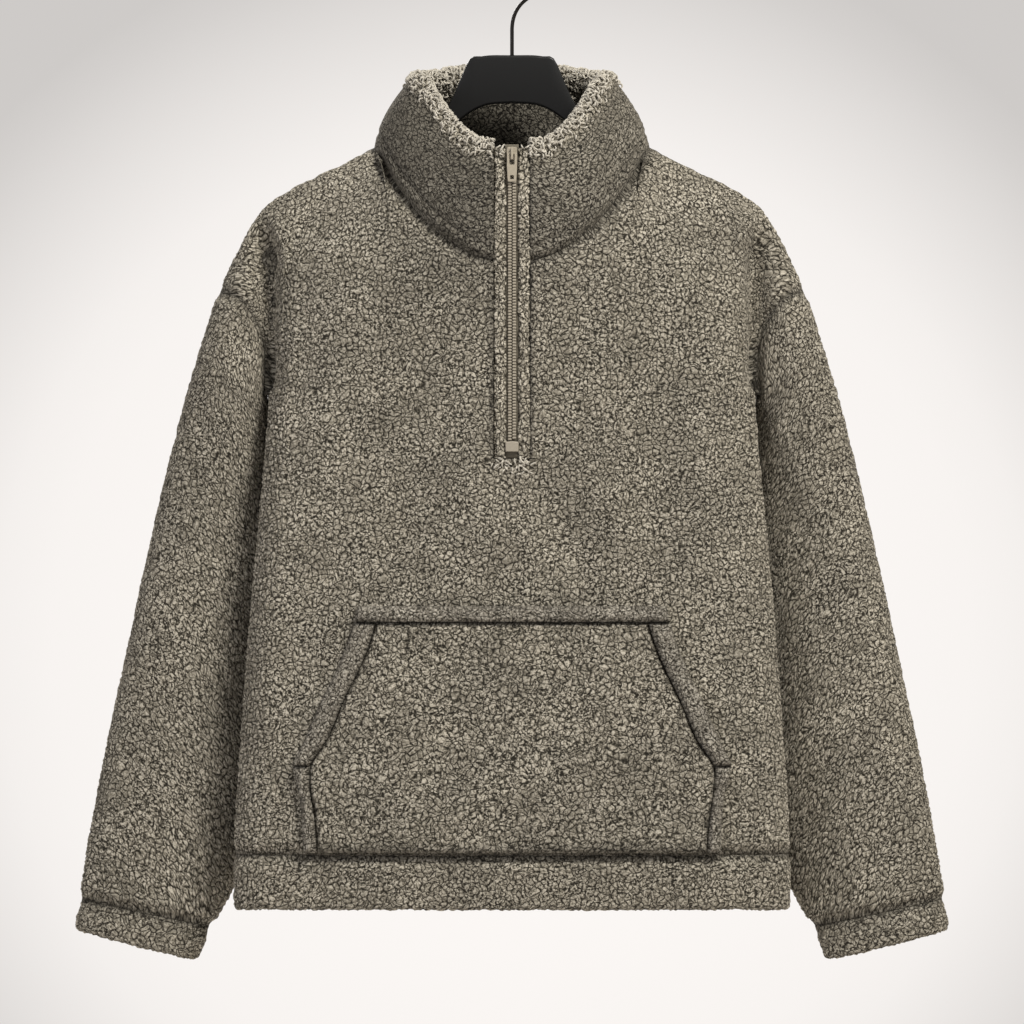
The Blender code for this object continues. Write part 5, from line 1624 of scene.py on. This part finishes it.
def joined(name, parts, finish):
    """One object out of several (shape, turn, shift) parts."""
    whole = bmesh.new()
    for shape, turn, shift in parts:
        bmesh.ops.transform(shape, matrix=Matrix.Translation(shift) @ turn, verts=shape.verts)
        mesh = bpy.data.meshes.new("part")
        shape.to_mesh(mesh)
        shape.free()
        whole.from_mesh(mesh)
    mesh = bpy.data.meshes.new(name)
    whole.to_mesh(mesh)
    whole.free()
    mesh.materials.append(finish)
    return in_scene(name, mesh)


def box_outline(x_low, x_high, y_low, y_high, radius):
    """The outline of a rectangle with rounded corners."""
    corners = [(x_low, y_low), (x_high, y_low), (x_high, y_high), (x_low, y_high)]
    return rounded_outline(corners, radius)


slider_y = float(zip_y(SLIDER_MIDDLE - SLIDER_HALF_LENGTH))
slider_at = Vector((0, slider_y, SLIDER_MIDDLE - ORIGIN_HEIGHT))
shield = rounded_outline(
    [
        (-0.0034, -0.0055),
        (0.0034, -0.0055),
        (0.0045, 0.0010),
        (0.0040, 0.0055),
        (-0.0040, 0.0055),
        (-0.0045, 0.0010),
    ],
    0.0012,
)
arch = rounded_outline(
    [
        (SLIDER_FRONT, -BRIDGE_HALF_LENGTH),
        (SLIDER_FRONT, -BRIDGE_HALF_LENGTH + BRIDGE_POST),
        (BRIDGE_INSIDE, -BRIDGE_HALF_LENGTH + BRIDGE_POST),
        (BRIDGE_INSIDE, BRIDGE_HALF_LENGTH - BRIDGE_POST),
        (SLIDER_FRONT, BRIDGE_HALF_LENGTH - BRIDGE_POST),
        (SLIDER_FRONT, BRIDGE_HALF_LENGTH),
        (BRIDGE_FRONT, BRIDGE_HALF_LENGTH),
        (BRIDGE_FRONT, -BRIDGE_HALF_LENGTH),
    ],
    0.0001,
)
plate_middle = (SLIDER_FRONT + SLIDER_BACK) / 2
shield_plate = flat_part([shield], SLIDER_BACK - SLIDER_FRONT, SHIELD_BEVEL)
bridge = flat_part([arch], 2 * BRIDGE_HALF_WIDTH, BRIDGE_BEVEL)
slider = joined(
    "zip_slider_cast",
    [
        (shield_plate, FACING_FRONT, slider_at + Vector((0, plate_middle, 0))),
        (bridge, FACING_SIDE, slider_at),
    ],
    painted,
)
finish_piece(slider, "zip_metal", "zip_slider")
tab_top = TAB_BAR / 2
tab_shape = rounded_outline(
    [
        (-0.0036, tab_top - TAB_LENGTH),
        (0.0036, tab_top - TAB_LENGTH),
        (TAB_HALF_WIDTH, tab_top - 0.011),
        (TAB_HALF_WIDTH, tab_top),
        (-TAB_HALF_WIDTH, tab_top),
        (-TAB_HALF_WIDTH, tab_top - 0.011),
    ],
    0.0014,
)
hole_top = tab_top - TAB_BAR
hole_bottom = hole_top - TAB_HOLE_LENGTH
loop = box_outline(-TAB_HOLE_HALF_WIDTH, TAB_HOLE_HALF_WIDTH, hole_bottom, hole_top, 0.0003)
cord_hole = box_outline(-0.0016, 0.0016, tab_top - 0.0225, tab_top - 0.0193, 0.0006)
tab_plate = flat_part([tab_shape, loop, cord_hole], TAB_THICKNESS, TAB_BEVEL)
tab_at = slider_at + Vector((0, TAB_AXIS_Y, 0))
tab = joined("zip_pull_tab_punched", [(tab_plate, FACING_FRONT, tab_at)], painted)
finish_piece(tab, "zip_metal", "zip_pull_tab", body=ZIP_PULL)
stop_middle = (STOP_BOTTOM + STOP_TOP) / 2
stop_shape = rounded_outline(
    [
        (-STOP_HALF, STOP_BOTTOM - stop_middle),
        (STOP_HALF, STOP_BOTTOM - stop_middle),
        (STOP_HALF, STOP_TOP - stop_middle - 0.0006),
        (0.0, STOP_TOP - stop_middle),
        (-STOP_HALF, STOP_TOP - stop_middle - 0.0006),
    ],
    0.0010,
)
stop_depth = TAPE_FRONT - TAPE_CLEAR
stop_at = Vector((0, float(zip_y(stop_middle)) + stop_depth / 2, stop_middle - ORIGIN_HEIGHT))
stop_plate = flat_part([stop_shape], stop_depth, STOP_BEVEL)
stop = joined("zip_stop_film", [(stop_plate, FACING_FRONT, stop_at)], film)
finish_piece(stop, "zip_tape", "zip_stop")

# %% [markdown]
# ## Hanger
# A plain injection-moulded shop hanger: a deep flat neck that runs out into sloping arms, all
# edges rounded so they don't mark the cloth. It is one smooth bar, drawn as a row of rounded
# sections that follow its top and bottom edges.

# %% Hanger and hook
HangerRow = namedtuple("HangerRow", "x top bottom half")
HANGER = [
    HangerRow(0.000, 0.7265, 0.6860, 0.0055),
    HangerRow(0.026, 0.7255, 0.6826, 0.0055),
    HangerRow(0.036, 0.7230, 0.6775, 0.0055),
    HangerRow(0.044, 0.7055, 0.6715, 0.0055),
    HangerRow(0.051, 0.6900, 0.6660, 0.0055),
    HangerRow(0.062, 0.6745, 0.6530, 0.0055),
    HangerRow(0.080, 0.6560, 0.6340, 0.0055),
    HangerRow(0.100, 0.6405, 0.6190, 0.0055),
    HangerRow(0.117, 0.6320, 0.6110, 0.0055),
    HangerRow(0.147, 0.6257, 0.6040, 0.0055),
    HangerRow(0.183, 0.6085, 0.5890, 0.0050),
    HangerRow(0.200, 0.5975, 0.5830, 0.0045),
]
HANGER_EDGE = 0.0022
HANGER_STATIONS = 56
HANGER_SECTION = 6
HANGER_END_ROUND, HANGER_END_LEAST = 0.006, 0.25
HANGER_SPACING = 1.2
WIRE_RADIUS, WIRE_SIDES = 0.0016, 14
TIP_REACH, TIP_SIZE = ((0.5,), (0.85,)), (0.85, 0.45)
HOOK_CENTRE_HEIGHT, HOOK_RADIUS = 0.793, 0.0225
HOOK_START, HOOK_END = -55, 205
STEM_BEND_HEIGHT, STEM_SWING, HOOK_LEAD = 0.748, 0.012, 0.010
STEM_SUNK, STEM_SHORT = 0.004, 0.003


def black_material(name, colour, roughness, metallic, grain):
    """A black finish whose gloss varies a little with the mould's or the paint's texture."""
    material, tree, shader = new_material(name)
    texture = noise(tree, object_place(tree), 1 / grain, 3.0)
    finish = {
        "Roughness": map_range(tree, texture, 0, 1, roughness - 0.06, roughness + 0.06),
        "Normal": bump(tree, texture, grain / 12, Strength=0.3),
        "Base Color": linear(colour),
        "Metallic": metallic,
        "Specular IOR Level": 0.25,
    }
    fill_inputs(tree, shader, finish)
    return material


black_plastic = black_material("matte black moulded polystyrene", "#171717", 0.38, 0.0, 0.0012)
black_wire = black_material("black lacquered steel wire", "#1e1b19", 0.35, 0.3, 0.0006)


def hanger_piece():
    """The bar of the hanger: rounded sections joined along it, closed at both ends."""
    reach = HANGER[-1].x
    half = np.linspace(0, 1, HANGER_STATIONS) ** HANGER_SPACING * reach
    x = np.concatenate([-half[:0:-1], half])
    at = np.abs(x)
    keys = [row.x for row in HANGER]
    top = curve_at(keys, [row.top for row in HANGER], at)
    bottom = curve_at(keys, [row.bottom for row in HANGER], at)
    thick = np.interp(at, keys, [row.half for row in HANGER])
    end = np.sqrt(rounded((reach - at) / HANGER_END_ROUND))
    end = end * (1 - HANGER_END_LEAST) + HANGER_END_LEAST
    middle, deep = (top + bottom) / 2, (top - bottom) / 2 * end
    thick = thick * end
    section = []
    for corner, (sy, sh) in enumerate(((1, -1), (1, 1), (-1, 1), (-1, -1))):
        for turn in np.linspace(0, math.pi / 2, HANGER_SECTION):
            a = turn + corner * math.pi / 2 - math.pi / 2
            section.append((sy, sh, math.cos(a), math.sin(a)))
    points = []
    for i in range(len(x)):
        edge = min(HANGER_EDGE, thick[i] * 0.8, deep[i] * 0.8)
        for sy, sh, c, s in section:
            y = sy * (thick[i] - edge) + edge * c
            points.append((x[i], y, middle[i] + sh * (deep[i] - edge) + edge * s))
    faces = tube_faces(len(x), len(section))
    made = mesh_object("hanger_moulded", lowered(np.array(points)), faces)
    turned_outwards(made.data).materials.append(black_plastic)
    finish_piece(made, "hanger_plastic", "hanger")


def hook_path():
    """The hook's centre line: straight up, a swing to the right, then round over the rail."""
    start = math.radians(HOOK_START)
    centre = np.array([0, HOOK_CENTRE_HEIGHT])
    joins = centre + HOOK_RADIUS * np.array([math.cos(start), math.sin(start)])
    way = np.array([-math.sin(start), math.cos(start)])
    bend = np.array([0, STEM_BEND_HEIGHT])
    corners = [bend, bend + np.array([0, STEM_SWING]), joins - way * HOOK_LEAD, joins]
    stem = np.linspace(HANGER[0].top - STEM_SUNK, STEM_BEND_HEIGHT - STEM_SHORT, 5)
    path = [np.array([0, h]) for h in stem]
    for t in np.linspace(0, 1, 12)[:-1]:
        weights = ((1 - t) ** 3, 3 * t * (1 - t) ** 2, 3 * t * t * (1 - t), t**3)
        path.append(sum(w * c for w, c in zip(weights, corners)))
    for degrees in np.arange(HOOK_START, HOOK_END + 1, 5):
        turn = math.radians(degrees)
        path.append(centre + HOOK_RADIUS * np.array([math.cos(turn), math.sin(turn)]))
    return np.array(path)


def hook_piece():
    """The hook: one bent wire with a rounded tip."""
    path = hook_path()
    along = unit(np.gradient(path, axis=0))
    side = np.stack([along[:, 1], -along[:, 0]], axis=1)
    last = path[-1] + along[-1] * WIRE_RADIUS * np.array(TIP_REACH)
    path = np.concatenate([path, last])
    side = np.concatenate([side, side[-1:], side[-1:]])
    size = WIRE_RADIUS * np.concatenate([np.ones(len(path) - 2), TIP_SIZE])
    rings = []
    for turn in np.arange(WIRE_SIDES) * 2 * math.pi / WIRE_SIDES:
        across = path + side * (size * math.cos(turn))[:, None]
        rings.append(np.stack([across[:, 0], size * math.sin(turn), across[:, 1]], axis=1))
    points = np.stack(rings, axis=1)
    made = mesh_object("hanger_hook_wire", lowered(points), tube_faces(*points.shape[:2]))
    turned_outwards(made.data).materials.append(black_wire)
    finish_piece(made, "hanger_wire", "hanger_hook")


hanger_piece()
hook_piece()

# %% [markdown]
# ## Loose curls at the rim
# Where the fleece is folded over the collar's rim, its loops stand free and catch the light. One
# small loop of fibre is repeated over the rim, on top of the two zip strips and below the zip,
# turned and sized at random.

# %% Geometry Nodes: loose curls
CURL_RADIUS, CURL_THICKNESS, CURL_TWIST = 0.0015, 0.0006, 0.0003
CURL_STEPS, CURL_SIDES = 6, 4
CURL_DENSITY = 190000.0
CURL_TILT, FULL_TURN = 0.5, 6.283
CURL_SIZES = (0.75, 1.5)
RIM_ROWS_OUT, RIM_ROWS_IN = 11, 15
ZIP_END_WEIGHT, ZIP_END_ROWS = 0.6, 6
TUFT_BELOW, TUFT_ABOVE, TUFT_LIFT, TUFT_FADE = 0.009, 0.0015, 0.0004, 0.006


def curl_object():
    """One loop of fibre, an arch that stands on both feet, kept out of the scene."""
    points = []
    for turn in np.linspace(-0.1, 1.1, CURL_STEPS + 1) * math.pi:
        out = np.array([math.cos(turn), 0, math.sin(turn)])
        for round_it in np.arange(CURL_SIDES) * 2 * math.pi / CURL_SIDES:
            size = CURL_THICKNESS * (0.75 + 0.25 * math.sin(turn))
            across = out * math.cos(round_it) + np.array([0, math.sin(round_it), 0])
            points.append(out * CURL_RADIUS + across * size + np.array([0, turn * CURL_TWIST, 0]))
    mesh = bpy.data.meshes.new("curl")
    mesh.from_pydata([tuple(p) for p in points], [], tube_faces(CURL_STEPS + 1, CURL_SIDES))
    return bpy.data.objects.new("curl", turned_outwards(mesh))


def curls_tree():
    """Node tree that stands curls on a surface, spun, tilted and sized at random."""
    inputs = {"Curl": "Object", "Density": "Float", "Seed": "Int"}
    tree, given = new_tree("loose curls", inputs)
    weight = named(tree, "pile", "FLOAT")
    sown = {
        "Mesh": given.outputs["Geometry"],
        "Density": maths(tree, "MULTIPLY", weight, given.outputs["Density"]),
        "Seed": given.outputs["Seed"],
    }
    spread = add_node(tree, "GeometryNodeDistributePointsOnFaces", sown)
    turns = {
        "Min": (-CURL_TILT, -CURL_TILT, 0.0),
        "Max": (CURL_TILT, CURL_TILT, FULL_TURN),
        "Seed": 3,
    }
    turn = add_node(tree, "FunctionNodeRandomValue", turns, data_type="FLOAT_VECTOR")
    spin = {"Rotation": spread.outputs["Rotation"], "Rotate By": turn.outputs["Value"]}
    spun = add_node(tree, "FunctionNodeRotateRotation", spin, rotation_space="LOCAL")
    sizes = {"Min": CURL_SIZES[0], "Max": CURL_SIZES[1], "Seed": 8}
    size = add_node(tree, "FunctionNodeRandomValue", sizes, data_type="FLOAT")
    curl = add_node(tree, "GeometryNodeObjectInfo", {"Object": given.outputs["Curl"]})
    stand = {
        "Points": spread.outputs["Points"],
        "Instance": curl.outputs["Geometry"],
        "Rotation": spun.outputs[0],
        "Scale": size.outputs[1],
    }
    placed = add_node(tree, "GeometryNodeInstanceOnPoints", stand)
    return ended(tree, placed.outputs[0], given)


def curl_material():
    """Loose fleece loops: lighter than the pile they stand on, each patch a little different."""
    material, tree, shader = new_material("loose sherpa curls, polyester")
    tone = noise(tree, object_place(tree), 400.0, 1.5)
    finish = {
        "Base Color": colour_ramp(tree, tone, (0.35, "#a39d90"), (0.65, "#c4beb1")),
        "Roughness": 0.9,
        "Specular IOR Level": 0.25,
        "Sheen Weight": 0.3,
    }
    fill_inputs(tree, shader, finish)
    return material


loose_curls, curl, curl_finish = curls_tree(), curl_object(), curl_material()


def curls_on(name, net, weight, seed, around=False):
    """Loose curls over a net, as dense as its weight says."""
    faces = net_faces(*net.shape[:2], around=around)
    made = mesh_object(name, lowered(net), faces, weight)
    run_nodes(made, loose_curls, Curl=curl, Density=CURL_DENSITY, Seed=seed, Finish=curl_finish)
    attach(made, GARMENT)
    print(name, "has", triangles(made), "triangles")


fold_row = COLLAR_ROWS + 1 + FOLD_STEPS // 2
rim_rows = np.arange(fold_row - RIM_ROWS_OUT, fold_row + RIM_ROWS_IN + 1)
rim_reach = np.where(rim_rows < fold_row, RIM_ROWS_OUT, RIM_ROWS_IN)
rim_weight = smoothstep(1.1 - np.abs(rim_rows - fold_row) / rim_reach)
rim_net = collar_net[rim_rows]
rim_weight = np.broadcast_to(rim_weight[:, None], rim_net.shape[:2])
curls_on("collar_rim_curls", rim_net, rim_weight, 5)
slot_columns = slice(CENTRE - SLOT_COLUMNS - 1, CENTRE + SLOT_COLUMNS + 2)
below_zip = front[SLOT_ROW - ZIP_END_ROWS : SLOT_ROW + 1, slot_columns]
curls_on("zip_end_curls", below_zip, np.full(below_zip.shape[:2], ZIP_END_WEIGHT), 9)
for name, x_low, x_high in (
    ("left", -ZIP_SLOT_HALF - 0.002, -ZIP_GAP_HALF - 0.001),
    ("right", ZIP_GAP_HALF + 0.001, ZIP_SLOT_HALF + 0.002),
):
    top_rows = np.linspace(PLACKET_TOP - TUFT_BELOW, PLACKET_TOP + TUFT_ABOVE, 6)
    x, h = np.meshgrid(np.linspace(x_low, x_high, 7), top_rows)
    over_placket = np.stack([x, zip_y(h) - TUFT_LIFT, h], axis=2)
    curls_on(f"placket_{name}_curls", over_placket, smoothstep((h - h.min()) / TUFT_FADE), 11)

# %% [markdown]
# ## Floor, light and camera
# A pale studio floor lies well below. The light is soft: a bright pale backdrop that fades
# towards its corners, a large lamp high on the right, a weak one on the left and one behind for
# the views from there. The camera stands level with the picture's middle, far back, so it sees
# the garment nearly without perspective.

# %% Studio
FLOOR_HEIGHT, FLOOR_RADIUS, FLOOR_SIDES = -1.75, 4.0, 96
BACKDROP_WAY = (0.0, 0.99988, -0.0155)
BACKDROP_START = 0.90
BACKDROP_LEVELS = ((0.90, 0.36), (0.9962, 0.66), (0.9982, 0.99), (1.0, 1.05))
PIXEL, PHOTO_SIZE, SENSOR = 0.00085, 1024, 36
CAMERA_DISTANCE, CAMERA_HEIGHT = 7.0, 0.3383


def floor_piece():
    """A round pale floor, out of sight from the front."""
    turns = np.arange(FLOOR_SIDES) * 2 * math.pi / FLOOR_SIDES
    rim = [(FLOOR_RADIUS * math.cos(a), FLOOR_RADIUS * math.sin(a), FLOOR_HEIGHT) for a in turns]
    mesh = bpy.data.meshes.new("studio_floor")
    mesh.from_pydata(rim, [], [tuple(range(FLOOR_SIDES))])
    made = in_scene("studio_floor", mesh)
    material, tree, shader = new_material("pale painted floor")
    mottle = noise(tree, object_place(tree), 2.0, 3.0)
    paint = colour_ramp(tree, mottle, (0.0, "#e2ddd8"), (1.0, "#ece8e4"))
    fill_inputs(tree, shader, {"Base Color": paint, "Roughness": 0.8})
    mesh.materials.append(material)


def lamp(name, place, target, size, energy, colour):
    """A large soft lamp pointed at a target."""
    light = bpy.data.lights.new(name, "AREA")
    light.size, light.energy = size, energy
    light.color = linear(colour)[:3]
    made = in_scene(name, light)
    made.location = place
    made.rotation_euler = (Vector(target) - made.location).to_track_quat("-Z", "Y").to_euler()


def studio_world():
    """A pale backdrop, brightest behind the garment and fading towards the picture's corners."""
    world = bpy.data.worlds.new("studio")
    bpy.context.scene.world = world
    world.use_nodes = True
    tree = world.node_tree
    way = add_node(tree, "ShaderNodeTexCoord").outputs["Generated"]
    towards_it = vector_maths(tree, "DOT_PRODUCT", way, BACKDROP_WAY).outputs["Value"]
    nearness = map_range(tree, towards_it, BACKDROP_START, 1.0, 0.0, 1.0)
    bright = add_node(tree, "ShaderNodeValToRGB", {"Fac": nearness})
    for cosine, _ in BACKDROP_LEVELS[1:-1]:
        bright.color_ramp.elements.new((cosine - BACKDROP_START) / (1 - BACKDROP_START))
    for element, (_, level) in zip(bright.color_ramp.elements, BACKDROP_LEVELS):
        element.color = (level, level, level, 1)
    light = {"Color": linear("#f8f4f1"), "Strength": bright.outputs[0]}
    fill_inputs(tree, tree.nodes["Background"], light)


floor_piece()
lamp("key", (1.3, -1.9, 1.9), (0, 0, -0.4), 1.0, 128.0, "#fffcf6")
lamp("fill", (-2.2, -2.2, 0.0), (0, 0, -0.5), 1.8, 24.0, "#f4f6ff")
lamp("back", (-1.0, 2.6, 1.2), (0, 0, -0.4), 1.4, 60.0, "#fffcf6")
studio_world()
bpy.context.scene.view_settings.view_transform = "Standard"
camera_data = bpy.data.cameras.new("camera")
camera_data.sensor_width = SENSOR
camera_data.lens = SENSOR * CAMERA_DISTANCE / (PIXEL * PHOTO_SIZE)
camera = in_scene("camera", camera_data)
camera.location = (0, -CAMERA_DISTANCE, CAMERA_HEIGHT - ORIGIN_HEIGHT)
camera.rotation_euler = (math.pi / 2, 0, 0)
bpy.context.scene.camera = camera
print("camera", CAMERA_DISTANCE, "m away, lens", round(camera_data.lens, 1), "mm")
